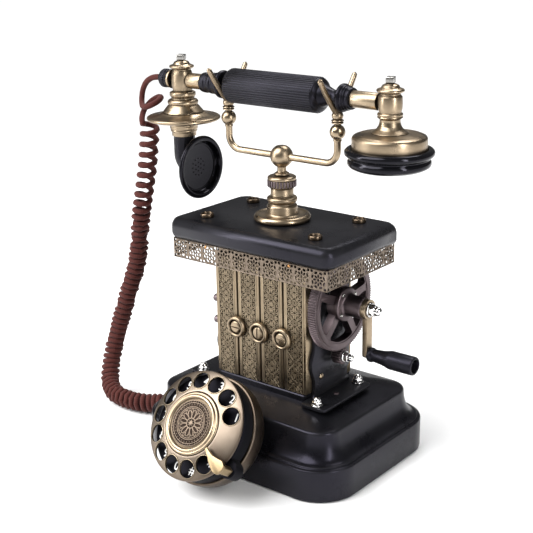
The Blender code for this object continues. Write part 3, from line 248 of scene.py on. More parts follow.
def turned(name, profile, place=None, segments=72, fillet=0.4 * MM, hollow=False):
    """A turned piece about local Z from (radius, height) pairs down its outer side."""
    if hollow:
        middle = ((profile[0][0] + profile[-1][0]) / 2, (profile[0][1] + profile[-1][1]) / 2)
        profile = [middle] + list(profile) + [middle]
    outline = filleted(profile, fillet)
    if hollow:
        outline.pop()
    shape = bmesh.new()
    rings = []
    for radius, height in outline:
        if radius < 1e-7:
            rings.append([shape.verts.new((0, 0, height))])
            continue
        ring = []
        for i in range(segments):
            angle = TURN * i / segments
            ring.append(shape.verts.new((radius * math.cos(angle), radius * math.sin(angle), height)))
        rings.append(ring)
    pairs = list(zip(rings, rings[1:]))
    if hollow:
        pairs.append((rings[-1], rings[0]))
    for upper, lower in pairs:
        for i in range(segments):
            j = (i + 1) % segments
            corners = [upper[i % len(upper)], lower[i % len(lower)], lower[j % len(lower)], upper[j % len(upper)]]
            face = list(dict.fromkeys(corners))
            if len(face) > 2:
                shape.faces.new(face)
    bmesh.ops.recalc_face_normals(shape, faces=shape.faces)
    item = from_shape(name, shape)
    if place:
        item.data.transform(place)
    return item


def drawn(name, dimensions, lines, **settings):
    """A mesh from a curve whose lines are (points, closed) in the local XY plane."""
    curve = bpy.data.curves.new(name, "CURVE")
    curve.dimensions = dimensions
    for key, value in settings.items():
        setattr(curve, key, value)
    for points, closed in lines:
        spline = curve.splines.new("POLY")
        spline.points.add(len(points) - 1)
        for target, (x, y) in zip(spline.points, points):
            target.co = (x, y, 0, 1)
        spline.use_cyclic_u = closed
    return settle(add_mesh(name, curve))


def flat(name, outlines, thickness, place=None, edge=0.3 * MM, segments=2):
    """A plate about the local XY plane with rounded edges; outlines after the first are holes."""
    lines = [(outline, True) for outline in outlines]
    item = weld(drawn(name, "2D", lines, fill_mode="BOTH", extrude=thickness / 2))
    if edge:
        item = bevelled(item, edge, segments)
    if place:
        item.data.transform(place)
    return item


def block(name, size, place=None, edge=0.4 * MM, segments=3):
    shape = bmesh.new()
    bmesh.ops.create_cube(shape, size=1)
    bmesh.ops.scale(shape, vec=size, verts=shape.verts)
    item = bevelled(from_shape(name, shape), edge, segments)
    if place:
        item.data.transform(place)
    return item


def sweep(name, points, radius, sides=14):
    """A round bar along points, with one radius or one per point, and a map of length and turn on it."""
    path = [Vector(p) for p in points]
    radii = radius if isinstance(radius, list) else [radius] * len(path)
    tangents = [(b - a).normalized() for a, b in zip(path[:1] + path[:-1], path[1:] + path[-1:])]
    side = tangents[0].orthogonal().normalized()
    vertices, lengths, run = [], [], 0.0
    for i, (centre, tangent, grown) in enumerate(zip(path, tangents, radii)):
        side = (side - tangent * side.dot(tangent)).normalized()
        other = tangent.cross(side)
        run += (centre - path[i - 1]).length if i else 0
        lengths.append(run)
        for j in range(sides):
            angle = TURN * j / sides
            vertices.append(centre + grown * (math.cos(angle) * side + math.sin(angle) * other))
    faces, marks = [], []
    for i in range(len(path) - 1):
        for j in range(sides):
            k = (j + 1) % sides
            faces.append((i * sides + j, i * sides + k, (i + 1) * sides + k, (i + 1) * sides + j))
            marks.append((lengths[i], lengths[i + 1], j / sides, (j + 1) / sides))
    last = (len(path) - 1) * sides
    faces += [tuple(reversed(range(sides))), tuple(range(last, last + sides))]
    data = bpy.data.meshes.new(name)
    data.from_pydata(vertices, [], faces)
    chart = data.uv_layers.new(name="strand")
    around = TURN * radii[len(radii) // 2]
    for number, (start, end, low, high) in enumerate(marks):
        corners = ((start, low), (start, high), (end, high), (end, low))
        for corner, (length, turn) in zip(data.polygons[number].loop_indices, corners):
            chart.data[corner].uv = (length / around, turn)
    return add_mesh(name, data)


def smooth_route(points, spacing):
    """Points at a steady spacing on a smooth curve through the given points."""
    knots = [Vector(p) for p in points]
    knots = [2 * knots[0] - knots[1]] + knots + [2 * knots[-1] - knots[-2]]
    fine = []
    for a, b, c, d in zip(knots, knots[1:], knots[2:], knots[3:]):
        for i in range(24):
            t = i / 24
            fine.append(0.5 * (2 * b + (c - a) * t + (2 * a - 5 * b + 4 * c - d) * t * t
                               + (3 * b - a - 3 * c + d) * t ** 3))
    fine.append(knots[-2])
    route, since = [fine[0]], 0.0
    for before, after in zip(fine, fine[1:]):
        since += (after - before).length
        if since >= spacing:
            route.append(after)
            since = 0.0
    return route


def arc(centre, radius, start, end, steps):
    return [
        (centre[0] + radius * math.cos(start + (end - start) * i / steps),
         centre[1] + radius * math.sin(start + (end - start) * i / steps))
        for i in range(steps + 1)
    ]


def loop(radius, count=24, centre=(0, 0), other=None, turn=0.0):
    """A closed circle or ellipse, with its first axis turned by an angle."""
    second = other or radius
    points = []
    for i in range(count):
        a = TURN * i / count
        x, y = radius * math.cos(a), second * math.sin(a)
        points.append((centre[0] + x * math.cos(turn) - y * math.sin(turn),
                       centre[1] + x * math.sin(turn) + y * math.cos(turn)))
    return points


def rounded_rectangle(half_x, half_y, corner, steps=10):
    points = []
    for quarter, (sx, sy) in enumerate(((1, 1), (-1, 1), (-1, -1), (1, -1))):
        centre = (sx * (half_x - corner), sy * (half_y - corner))
        start = quarter * math.pi / 2
        points += arc(centre, corner, start, start + math.pi / 2, steps)
    return points


def wires(name, lines, thickness, place=None):
    """Raised lines: each is (points, closed) in the local XY plane."""
    item = drawn(name, "3D", lines, bevel_depth=thickness, bevel_resolution=1, use_fill_caps=True)
    if place:
        item.data.transform(place)
    return item


def ball(name, radius, squash=1.0, segments=12):
    shape = bmesh.new()
    bmesh.ops.create_uvsphere(shape, u_segments=segments, v_segments=segments // 2, radius=radius)
    bmesh.ops.scale(shape, vec=(1, 1, squash), verts=shape.verts)
    return from_shape(name, shape)


def drum(name, radius, depth, segments=20):
    shape = bmesh.new()
    bmesh.ops.create_cone(shape, cap_ends=True, segments=segments, radius1=radius, radius2=radius, depth=depth)
    return from_shape(name, shape)


def joined(name, items):
    """One mesh from several that share a finish and a body."""
    shape = bmesh.new()
    for item in items:
        shape.from_mesh(item.data)
    for item in items:
        bpy.data.objects.remove(item)
    return from_shape(name, shape)


# ---------------------------------------------------------------- repeats made with Geometry Nodes

def feed(tree, value, socket):
    """Links a node's output to a socket, or gives the socket a plain value."""
    if isinstance(value, bpy.types.NodeSocket):
        tree.links.new(value, socket)
    else:
        socket.default_value = (*value, 1) if socket.type == "RGBA" else value


def wired(tree, kind, feeds=None, out=0, **settings):
    """A new node with its settings made and its inputs fed; gives one of its outputs."""
    node = tree.nodes.new(kind)
    for name, value in settings.items():
        setattr(node, name, value)
    for key, value in (feeds or {}).items():
        feed(tree, value, node.inputs[key])
    return node.outputs[out]


def number_node(tree, operation, *values):
    return wired(tree, "ShaderNodeMath", dict(enumerate(values)), operation=operation)


def repeat_tree(name, inputs, lay):
    """A tree that lays points, puts the piece on each, and ends in plain geometry with its finish."""
    tree = bpy.data.node_groups.new(name, "GeometryNodeTree")
    face = tree.interface
    face.new_socket("Geometry", in_out="INPUT", socket_type="NodeSocketGeometry")
    for label, kind, default in (("Piece", "Object", None), ("Finish", "Material", None), *inputs):
        socket = face.new_socket(label, in_out="INPUT", socket_type=f"NodeSocket{kind}")
        if default is not None:
            socket.default_value = default
    face.new_socket("Geometry", in_out="OUTPUT", socket_type="NodeSocketGeometry")
    given = tree.nodes.new("NodeGroupInput").outputs
    index = wired(tree, "GeometryNodeInputIndex")
    count, position, turn = lay(tree, given, index)
    points = wired(tree, "GeometryNodePoints", {"Count": count, "Position": position})
    piece = wired(tree, "GeometryNodeObjectInfo", {"Object": given["Piece"]}, "Geometry")
    spread = wired(tree, "GeometryNodeInstanceOnPoints", {"Points": points, "Instance": piece, **turn})
    real = wired(tree, "GeometryNodeRealizeInstances", {0: spread})
    painted = wired(tree, "GeometryNodeSetMaterial", {"Geometry": real, "Material": given["Finish"]})
    tree.links.new(painted, tree.nodes.new("NodeGroupOutput").inputs[0])
    return tree


def lay_ring(tree, given, index):
    """Points around Z, each turned to follow the circle."""
    angle = number_node(tree, "MULTIPLY_ADD", index, given["Step"], given["Start"])
    x, y = (number_node(tree, "MULTIPLY", number_node(tree, wave, angle), given["Radius"]) for wave in ("COSINE",
            "SINE"))
    place = wired(tree, "ShaderNodeCombineXYZ", {0: x, 1: y})
    return given["Count"], place, {"Rotation": wired(tree, "ShaderNodeCombineXYZ", {2: angle})}


def lay_grid(tree, given, index):
    """Points in columns and rows on the XY plane, centred on the origin."""
    columns, rows = given["Columns"], given["Rows"]
    row = number_node(tree, "FLOOR", number_node(tree, "DIVIDE", number_node(tree, "ADD", index, 0.5), columns))
    column = number_node(tree, "SUBTRACT", index, number_node(tree, "MULTIPLY", row, columns))
    reach = []
    for number, total, step in ((column, columns, "Column Step"), (row, rows, "Row Step")):
        half = number_node(tree, "DIVIDE", number_node(tree, "SUBTRACT", total, 1.0), 2.0)
        reach.append(number_node(tree, "MULTIPLY", number_node(tree, "SUBTRACT", number, half), given[step]))
    return number_node(tree, "MULTIPLY", columns, rows), wired(tree, "ShaderNodeCombineXYZ", dict(enumerate(reach))), {}


def ring_tree():
    return repeat_tree("ring_of_pieces", (
        ("Count", "Int", 8), ("Radius", "Float", 0.01), ("Start", "Float", 0.0), ("Step", "Float", 0.5)), lay_ring)


def grid_tree():
    return repeat_tree("grid_of_pieces", (
        ("Columns", "Int", 2), ("Rows", "Int", 2), ("Column Step", "Float", 0.01), ("Row Step", "Float", 0.01)),
        lay_grid)


def repeated(name, tree, piece, place, values):
    """The piece repeated by a tree, as a plain mesh at the given place; the single piece is removed."""
    host = add_mesh(name, bpy.data.meshes.new(name))
    step = host.modifiers.new("repeat", "NODES")
    step.node_group = tree
    given = {"Piece": piece, **values}
    for socket in tree.interface.items_tree:
        if socket.in_out == "INPUT" and socket.name in given:
            step[socket.identifier] = given[socket.name]
    host.matrix_world = place
    item = settle(host)
    bpy.data.objects.remove(piece)
    return item


def around(name, piece, place, count, radius, start=0.0, step=None):
    return repeated(name, TREES["ring"], piece, place, {
        "Count": count, "Radius": radius, "Start": start, "Step": TURN / count if step is None else step})


def gridded(name, piece, place, columns, rows, column_step, row_step):
    return repeated(name, TREES["grid"], piece, place, {
        "Columns": columns, "Rows": rows, "Column Step": column_step, "Row Step": row_step})


# ---------------------------------------------------------------- finishes

def wear_group():
    """Masks that the metals and lacquers share: recess shade, worn edge, blotches and fine grain."""
    tree = bpy.data.node_groups.new("surface_wear", "ShaderNodeTree")
    for label, value in (("Blotch Scale", 90.0), ("Grain Scale", 900.0), ("Recess Reach", 0.004)):
        tree.interface.new_socket(label, in_out="INPUT", socket_type="NodeSocketFloat").default_value = value
    for label in ("Recess", "Edge", "Blotch", "Grain"):
        tree.interface.new_socket(label, in_out="OUTPUT", socket_type="NodeSocketFloat")
    given = tree.nodes.new("NodeGroupInput").outputs
    result = tree.nodes.new("NodeGroupOutput").inputs
    place = wired(tree, "ShaderNodeTexCoord", out="Object")
    # Recess: ambient occlusion, which the finishes use to paint shade into their colour where surfaces crowd together
    # and between parts.
    shade = wired(tree, "ShaderNodeAmbientOcclusion", {"Distance": given["Recess Reach"]}, "AO", samples=8)
    masks = [("Recess", shade, 0.92, 0.42),
             ("Edge", wired(tree, "ShaderNodeNewGeometry", out="Pointiness"), 0.505, 0.58)]
    for label, detail, low, high in (("Blotch", 5.0, 0.35, 0.68), ("Grain", 3.0, 0.3, 0.7)):
        feeds = {"Vector": place, "Scale": given[f"{label} Scale"], "Detail": detail}
        masks.append((label, wired(tree, "ShaderNodeTexNoise", feeds), low, high))
    for label, value, low, high in masks:
        spread = wired(tree, "ShaderNodeMapRange", {"Value": value, "From Min": low, "From Max": high})
        tree.links.new(spread, result[label])
    return tree


class Paint:
    """A material being wired: its tree, its shader and the masks of surface_wear."""

    def __init__(self, name, metallic, blotch=90.0, grain=900.0, reach=0.004):
        self.material = bpy.data.materials.new(name)
        self.material.use_nodes = True
        self.tree = self.material.node_tree
        self.shader = self.tree.nodes["Principled BSDF"]
        wear = self.tree.nodes.new("ShaderNodeGroup")
        wear.node_tree = GROUPS["wear"]
        for label, value in (("Blotch Scale", blotch), ("Grain Scale", grain), ("Recess Reach", reach)):
            wear.inputs[label].default_value = value
        self.masks = wear.outputs
        self.shade(Metallic=metallic)

    def shade(self, **feeds):
        """Feeds the shader's inputs; an underscore stands for a space in their names."""
        for label, value in feeds.items():
            feed(self.tree, value, self.shader.inputs[label.replace("_", " ")])

    def mix(self, amount, first, second):
        return wired(self.tree, "ShaderNodeMix", {0: amount, 6: first, 7: second}, 2, data_type="RGBA")

    def number(self, operation, *values):
        return number_node(self.tree, operation, *values)

    def times(self, value, share):
        return self.number("MULTIPLY", value, share)

    def span(self, value, low, high):
        """A mask of 0 to 1 spread from low to high."""
        return wired(self.tree, "ShaderNodeMapRange", {"Value": value, "To Min": low, "To Max": high})

    def axes(self, vector):
        node = self.tree.nodes.new("ShaderNodeSeparateXYZ")
        self.tree.links.new(vector, node.inputs[0])
        return node.outputs[0], node.outputs[1]

    def bump(self, height, strength, distance):
        self.shade(Normal=wired(self.tree, "ShaderNodeBump", {
            "Strength": strength, "Distance": distance, "Height": height}))

    def place(self, centre=(0, 0, 0), turn=(0, 0, 0), scale=(1, 1, 1)):
        """Object coordinates moved, turned and stretched, for a pattern that follows one piece."""
        coordinates = wired(self.tree, "ShaderNodeTexCoord", out="Object")
        shift = wired(self.tree, "ShaderNodeVectorMath", {0: coordinates, 1: centre}, operation="SUBTRACT")
        return wired(self.tree, "ShaderNodeMapping", {"Vector": shift, "Rotation": turn, "Scale": scale})


def aged_metal(name, bright, dark, rough=(0.24, 0.42), recess=0.85, brushed=None):
    """Worn bright metal with dark patina and painted shade in its recesses, and fine turning marks where brushed."""
    paint = Paint(name, 1.0)
    masks = paint.masks
    middle = [0.62 * a + 0.38 * b for a, b in zip(bright, dark)]
    base = paint.mix(paint.span(masks["Blotch"], 0.0, 0.4), bright, middle)
    # Painted shade and patina: the recess mask darkens the colour towards the dark colour in hollows and where parts
    # meet.
    base = paint.mix(paint.times(masks["Recess"], recess), base, dark)
    base = paint.mix(paint.times(masks["Edge"], 0.35), base, [min(1, 1.35 * c) for c in bright])
    height = masks["Grain"]
    if brushed:
        height = wired(paint.tree, "ShaderNodeTexNoise", {
            "Scale": 1.0, "Detail": 3.0, "Vector": paint.place(scale=brushed)})
    paint.shade(Base_Color=base, Roughness=paint.number(
        "ADD", paint.span(masks["Blotch"], *rough), paint.times(masks["Recess"], 0.2)))
    paint.bump(height, 0.12, 0.00008)
    return paint.material


def dial_metal(name, bright, dark):
    """Brushed in circles about the dial's axis, darker towards the rim, with patina and painted shade around the
    openings.
    """
    paint = Paint(name, 1.0, blotch=60.0, reach=0.009)
    masks = paint.masks
    x, y = paint.axes(paint.place(tuple(DIAL_CENTRE), (DIAL_TILT - QUARTER, 0, 0)))
    radius = paint.number("SQRT", paint.number("ADD", paint.times(x, x), paint.times(y, y)))
    ring = wired(paint.tree, "ShaderNodeTexNoise", {"W": radius, "Scale": 5200.0, "Detail": 2.0},
                 noise_dimensions="1D")
    rim = wired(paint.tree, "ShaderNodeMapRange", {"Value": radius, "From Min": 0.0355, "From Max": 0.0395})
    middle = [0.5 * a + 0.5 * b for a, b in zip(bright, dark)]
    base = paint.mix(paint.span(masks["Blotch"], 0.0, 0.6), bright, middle)
    base = paint.mix(paint.span(ring, 0.0, 0.3), base, middle)
    base = paint.mix(paint.times(rim, 0.55), base, dark)
    # Painted shade and patina: the recess mask darkens the colour around the openings and where other parts crowd in.
    base = paint.mix(paint.times(masks["Recess"], 0.95), base, dark)
    paint.shade(Base_Color=base, Roughness=paint.span(ring, 0.26, 0.44))
    paint.bump(ring, 0.25, 0.00006)
    return paint.material


def lacquer(name, colour, rough, sheen=0.0, dust=0.25, glare=0.22):
    """Black lacquer or moulding with a faint orange peel, dust, rubbed edges and a cool cast."""
    paint = Paint(name, 0.0, blotch=45.0, grain=2600.0, reach=0.006)
    masks = paint.masks
    base = paint.mix(paint.span(masks["Blotch"], 0.0, dust), colour, [c + 0.012 for c in colour])
    base = paint.mix(paint.times(masks["Edge"], 0.3), base, [c + 0.03 for c in colour])
    spread = paint.span(masks["Blotch"], rough - 0.03, rough + 0.06)
    paint.shade(
        Base_Color=base, Roughness=paint.number("ADD", spread, paint.times(masks["Grain"], 0.04)),
        Specular_IOR_Level=glare, Specular_Tint=(0.78, 0.74, 1.0), Coat_Weight=sheen, Coat_Roughness=0.12)
    paint.bump(masks["Grain"], 0.06, 0.00005)
    return paint.material


def polished(name, colour, rough=0.06):
    paint = Paint(name, 1.0, blotch=140.0)
    # Painted shade: the recess mask darkens the chrome towards near black where surfaces crowd together.
    paint.shade(Base_Color=paint.mix(paint.times(paint.masks["Recess"], 0.6), colour, (0.06, 0.06, 0.07)),
                Roughness=paint.span(paint.masks["Blotch"], rough, rough + 0.1))
    return paint.material


def braid(name, colour):
    """A braided textile jacket: two sets of crossing yarns along the strand's own map."""
    paint = Paint(name, 0.0, blotch=400.0, grain=3000.0)
    u, v = paint.axes(wired(paint.tree, "ShaderNodeUVMap", uv_map="strand"))
    along, turn = paint.times(u, TURN * 6), paint.times(v, TURN * 8)
    one, two = (paint.number("SINE", paint.number(sign, along, turn)) for sign in ("ADD", "SUBTRACT"))
    weave = paint.number("MULTIPLY_ADD", paint.times(one, two), 0.5, 0.5)
    deep = [0.35 * c for c in colour]
    pale = [min(1, 1.5 * c + 0.008) for c in colour]
    base = paint.mix(weave, deep, colour)
    base = paint.mix(paint.span(paint.masks["Grain"], 0.0, 0.5), base, pale)
    # Painted shade: the recess mask darkens the cord where it lies close to other surfaces.
    base = paint.mix(paint.times(paint.masks["Recess"], 0.5), base, deep)
    paint.shade(Base_Color=base, Roughness=0.85, Specular_IOR_Level=0.2, Sheen_Weight=0.06, Sheen_Roughness=0.5)
    paint.bump(weave, 0.5, 0.0003)
    return paint.material


def plain(name, colour, rough, metallic=0.0):
    paint = Paint(name, metallic, blotch=70.0)
    dull = [0.7 * c for c in colour]
    paint.shade(Base_Color=paint.mix(paint.span(paint.masks["Blotch"], 0.0, 0.4), colour, dull),
                Roughness=paint.span(paint.masks["Grain"], rough - 0.05, rough + 0.05))
    return paint.material


def make_finishes(look):
    GROUPS["wear"] = wear_group()
    brass, patina_and_shade, iron, black = (tuple(c) for c in (look.brass, look.patina_and_shade, look.iron, look.lacquer))
    satin = (0.24, 0.42)
    # Columns: key, material name, bright colour, dark colour, roughness range, and how strongly the recess mask paints
    # patina and shade in the dark colour.
    for key, name, bright, dark, rough, recess in (
        ("brass", "aged_brass", brass, patina_and_shade, satin, 0.85),
        ("relief", "relief_brass", (0.33, 0.265, 0.182), (0.02, 0.015, 0.011), (0.28, 0.42), 0.6),
        ("ground", "relief_ground", (0.03, 0.022, 0.014), (0.01, 0.0075, 0.006), (0.4, 0.55), 0.85),
        ("border", "border_brass", (0.25, 0.195, 0.13), (0.025, 0.018, 0.013), (0.24, 0.38), 0.85),
        ("frieze", "pierced_bronze", (0.17, 0.135, 0.105), (0.02, 0.015, 0.012), (0.28, 0.42), 0.85),
        ("bronze", "dark_bronze", (0.15, 0.11, 0.075), patina_and_shade, (0.24, 0.4), 0.85),
        ("copper", "copper_rivet", (0.5, 0.26, 0.1), (0.1, 0.05, 0.03), satin, 0.85),
        ("medallion", "medallion_bronze", (0.13, 0.1, 0.075), (0.012, 0.009, 0.007), (0.26, 0.4), 0.7),
        ("medallion_ground", "medallion_ground", (0.02, 0.014, 0.011), (0.006, 0.005, 0.004), (0.36, 0.5), 0.85),
        ("stop", "stop_brass", (0.25, 0.185, 0.105), patina_and_shade, (0.3, 0.42), 0.85),
        ("iron", "blackened_iron", iron, [0.35 * c for c in iron], (0.34, 0.5), 0.7),
        ("steel", "bolt_steel", (0.36, 0.35, 0.33), (0.05, 0.045, 0.04), (0.18, 0.34), 0.85),
    ):
        FINISHES[key] = aged_metal(name, bright, dark, rough, recess)
    FINISHES.update({
        "brass_upright": aged_metal("aged_brass_turned", brass, patina_and_shade, brushed=(60, 60, 9000)),
        "brass_sideways": aged_metal("aged_brass_drawn", brass, patina_and_shade, brushed=(9000, 60, 60)),
        "dial": dial_metal("dial_metal", tuple(look.champagne), (0.06, 0.042, 0.03)),
        "chrome": polished("chrome", (0.78, 0.77, 0.76)),
        "lacquer": lacquer("black_lacquer", black, 0.27),
        "plastic": lacquer("black_plastic", black, 0.3, dust=0.15, glare=0.17),
        "gloss": lacquer("black_gloss", (0.003, 0.003, 0.004), 0.09, sheen=0.12, dust=0.03, glare=0.12),
        # The dark finish is the real black of the feet and the number plate, and the painted shade of the ear and mouth
        # hole discs.
        "dark": lacquer("black_recess", (0.003, 0.003, 0.004), 0.5, dust=0.05, glare=0.08),
        "cord": braid("cord_braid", tuple(look.cord)),
        "digits": plain("white_enamel", (0.82, 0.82, 0.8), 0.4),
        "board": plain("circuit_board", (0.03, 0.16, 0.07), 0.4),
        "pan": plain("dark_steel", (0.05, 0.05, 0.055), 0.5, 0.6),
    })


# ---------------------------------------------------------------- cord

def coil_radius():
    sizes = bpy.context.scene.phone_sizes
    return (sizes.coil - sizes.strand) / 2


def helix(route):
    """The strand's turns about the coil's centreline, open at the top and closed lower down."""
    sizes = bpy.context.scene.phone_sizes
    radius = coil_radius()
    tangent = (route[1] - route[0]).normalized()
    side = Vector((-1, 0, 0))
    points, phase, since, run = [], 0.0, 0.0, 0.0
    for before, after in zip(route, route[1:]):
        step = (after - before).length
        tangent = (after - before).normalized()
        side = (side - tangent * side.dot(tangent)).normalized()
        other = tangent.cross(side)
        run += step
        blend = min(1, max(0, (run - 62 * MM) / (30 * MM)))
        pitch = sizes.open_pitch + (sizes.closed_pitch - sizes.open_pitch) * blend
        phase += TURN * step / pitch
        since += TURN * step / pitch
        if since >= TURN / 14:
            points.append(after + radius * (math.cos(phase) * side + math.sin(phase) * other))
            since = 0.0
    return points


def cord_path():
    lead = smooth_route([Vector(p) * MM for p in LEAD_POINTS], 1.4 * MM)
    turns = helix(smooth_route([Vector(p) * MM for p in COIL_POINTS], 0.05 * MM))
    last, before, start, after = lead[-1], lead[-4], turns[6], turns[9]
    gap = (start - last).length
    bridge = []
    for i in range(1, 10):
        t = i / 10
        a, b = (last - before).normalized() * gap, (after - start).normalized() * gap
        bridge.append((2 * t ** 3 - 3 * t * t + 1) * last + (t ** 3 - 2 * t * t + t) * a
                      + (3 * t * t - 2 * t ** 3) * start + (t ** 3 - t * t) * b)
    socket = Vector(COIL_POINTS[-1]) * MM
    end = turns[-12]
    tail = [end.lerp(socket + Vector((0.5 * MM, 0, 0)), t) for t in (0.5, 1.0)]
    return lead + bridge + turns[6:-11] + tail


class PHONE_OT_cord(bpy.types.Operator):
    """Make the braided curly cord from the handset to the base"""
    bl_idname = "phone.cord"
    bl_label = "Curly cord"

    def execute(self, context):
        strand = context.scene.phone_sizes.strand
        path = cord_path()
        item = sweep("curly_cord", path, strand / 2, sides=10)
        dress(item, None, "cord", "cord_coil", "cord_lead", angle=80)
        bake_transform(item)
        return {"FINISHED"}


# ---------------------------------------------------------------- base

def base_sections():
    """(half x, half y, corner, z) up the outside of the base."""
    low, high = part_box("base_housing")
    half_x, half_y, corner = high.x, -low.y, 30 * MM
    foot, top = low.z, high.z
    ledge, shoulder = 2.6 * MM, 14 * MM
    sections = [(1.2 * MM, foot), (0.3 * MM, foot + 0.4 * MM), (0, foot + 1.6 * MM), (0, 23.4 * MM)]
    sections += [(1.1 * MM * (1 - math.cos(a)), 23.4 * MM + 1.1 * MM * math.sin(a))
                 for a in (math.radians(22.5), math.radians(45), math.radians(67.5), math.radians(90))]
    sections += [mm(2.0, 24.7), (ledge, 25.2 * MM), (ledge, 25.8 * MM), (ledge + 0.4 * MM, 26.2 * MM)]
    for i in range(1, 17):
        turn = QUARTER * i / 16
        inset = ledge + 0.4 * MM + (shoulder - ledge - 1.4 * MM) * math.sin(turn)
        sections.append((inset, 26.2 * MM + 19.6 * MM * (1 - math.cos(turn))))
    sections += [(shoulder - 0.6 * MM, 46.6 * MM), (shoulder + 0.3 * MM, 47.2 * MM), (shoulder + 1.4 * MM, 47.5 * MM)]
    result = [(half_x - inset, half_y - inset, corner - inset, z) for inset, z in sections]
    seat_x, seat_y = 41.5 * MM, 28.6 * MM
    deck = 53 * MM
    for share in (0.35, 0.7):
        inset_x = half_x - shoulder + (seat_x + 3 * MM - half_x + shoulder) * share
        inset_y = half_y - shoulder + (seat_y + 3 * MM - half_y + shoulder) * share
        result.append((inset_x, inset_y, 16 * MM - 9 * MM * share, 47.6 * MM + (deck - 47.6 * MM) * share))
    result += [(seat_x + 3 * MM, seat_y + 3 * MM, 6 * MM, deck), (seat_x + 0.3 * MM, seat_y + 0.3 * MM, 3 * MM, deck),
               (seat_x, seat_y, 3 * MM, deck + 0.2 * MM), (seat_x, seat_y, 3 * MM, top - 0.6 * MM),
               (seat_x - 0.6 * MM, seat_y - 0.6 * MM, 2.6 * MM, top)]
    return result


def make_base():
    shape = bmesh.new()
    rings = [[shape.verts.new((x, y, z)) for x, y in rounded_rectangle(hx, hy, corner, 14)]
             for hx, hy, corner, z in base_sections()]
    for low, high in zip(rings, rings[1:]):
        for i in range(len(low)):
            j = (i + 1) % len(low)
            shape.faces.new((low[i], low[j], high[j], high[i]))
    shape.faces.new(rings[-1])
    shape.faces.new(list(reversed(rings[0])))
    housing = from_shape("base_shell", shape)
    jack = block("jack_cut", mm(16.6, 14, 14.6), Matrix.Translation(mm(34, 69, 13)))
    housing = boolean(housing, jack)
    dress(housing, ROOT, "lacquer", "base_housing", angle=42)

    low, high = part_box("base_plate")
    inset = 3.3 * MM
    outline = rounded_rectangle(high.x, high.y, 30 * MM - inset, 14)
    pan = flat("base_pan", [outline], 0.5 * MM, moved(z=0.25 * MM), edge=0.15 * MM)
    dress(pan, ROOT, "pan", "base_plate")
    foot = turned("foot", pairs((0, 0.8), (7, 0.8), (7.6, 0), (0, 0)), segments=24, fillet=0.2 * MM)
    feet = gridded("rubber_feet", foot, moved(z=-0.0 * MM), 2, 2, 130 * MM, 84 * MM)
    dress(feet, ROOT, "dark")
    for node, finish in (("circuit_board", "board"), ("ringer", "brass"), ("hook_switch", "plastic")):
        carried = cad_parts[node]
        carried.data.materials.clear()
        carried.data.materials.append(FINISHES[finish])

    jack_low, jack_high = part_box("line_jack")
    middle = (jack_low + jack_high) / 2
    size = jack_high - jack_low
    jack = block("line_socket", tuple(size), Matrix.Translation(middle))
    port = block("port_cut", mm(10, 11, 8), Matrix.Translation(middle + Vector((0, 4.5 * MM, 0))), 0.2 * MM)
    jack = boolean(jack, port)
    notch = block("notch_cut", mm(5, 11, 3),
                  Matrix.Translation(middle + Vector(mm(0, 4.5, -4.6))), 0.1 * MM)
    dress(boolean(jack, notch), ROOT, "plastic", "line_jack")
    contact = block("contact", mm(0.5, 8, 0.5), None, 0.1 * MM, 1)
    contacts = gridded("line_contacts", contact, Matrix.Translation(middle + Vector(mm(0, 3, 3.4))),
                       4, 1, 1.1 * MM, 1 * MM)
    dress(contacts, ROOT, "brass")

    ring = turned("cord_ferrule", pairs(
        (5.4, 95.4), (7.6, 95.4), (8.4, 94.6), (8.4, 92.3),
        (6.4, 92.3), (6.4, 87), (5.4, 87)), Matrix.Translation(mm(0, -22, 10)) @ AGAINST_X, 48, hollow=True)
    dress(ring, ROOT, "plastic", "cord_socket")


class PHONE_OT_base(bpy.types.Operator):
    """Make the lacquered base with its pan, feet, line socket and cord ferrule"""
    bl_idname = "phone.base"
    bl_label = "Base"

    def execute(self, context):
        make_base()
        return {"FINISHED"}


# ---------------------------------------------------------------- magnets

def relief_tile(half_x, half_y):
    """Raised leaf and diamond lines of one square of the magnets' relief."""
    lines = [(loop(1.0 * MM, 10), True), (loop(1.9 * MM, 14), True)]
    for i in range(4):
        sx, sy = ((1, 1), (-1, 1), (-1, -1), (1, -1))[i]
        lean = math.atan2(sy * half_y, sx * half_x)
        start = (2.1 * MM * math.cos(lean), 2.1 * MM * math.sin(lean))
        lines.append(([start, (sx * half_x * 0.98, sy * half_y * 0.98)], False))
        for side in (-1, 1):
            turn = lean + side * math.radians(17)
            centre = (5.1 * MM * math.cos(turn), 5.1 * MM * math.sin(turn))
            lines.append((loop(2.1 * MM, 12, centre, 0.8 * MM, turn), True))
    for i in range(4):
        turn = QUARTER * i
        reach = half_x if i % 2 == 0 else half_y
        centre = ((reach - 2.4 * MM) * math.cos(turn), (reach - 2.4 * MM) * math.sin(turn))
        lines.append((loop(1.5 * MM, 12, centre, 0.95 * MM, turn), True))
        lines.append((loop(0.55 * MM, 8, centre), True))
    for sx in (-1, 1):
        for sy in (-1, 1):
            lines.append((loop(1.5 * MM, 10, (sx * 2.3 * MM, sy * (half_y - 0.85 * MM)), 0.6 * MM), True))
    for i in range(4):
        sx, sy = ((1, 1), (-1, 1), (-1, -1), (1, -1))[i]
        hook = [(sx * (half_x - 0.3 * MM - 1.5 * MM * math.sin(a)), sy * (half_y - 0.5 * MM - 2.6 * MM * math.cos(a)))
                for a in (QUARTER * k / 6 for k in range(7))]
        lines.append((hook, False))
    return lines


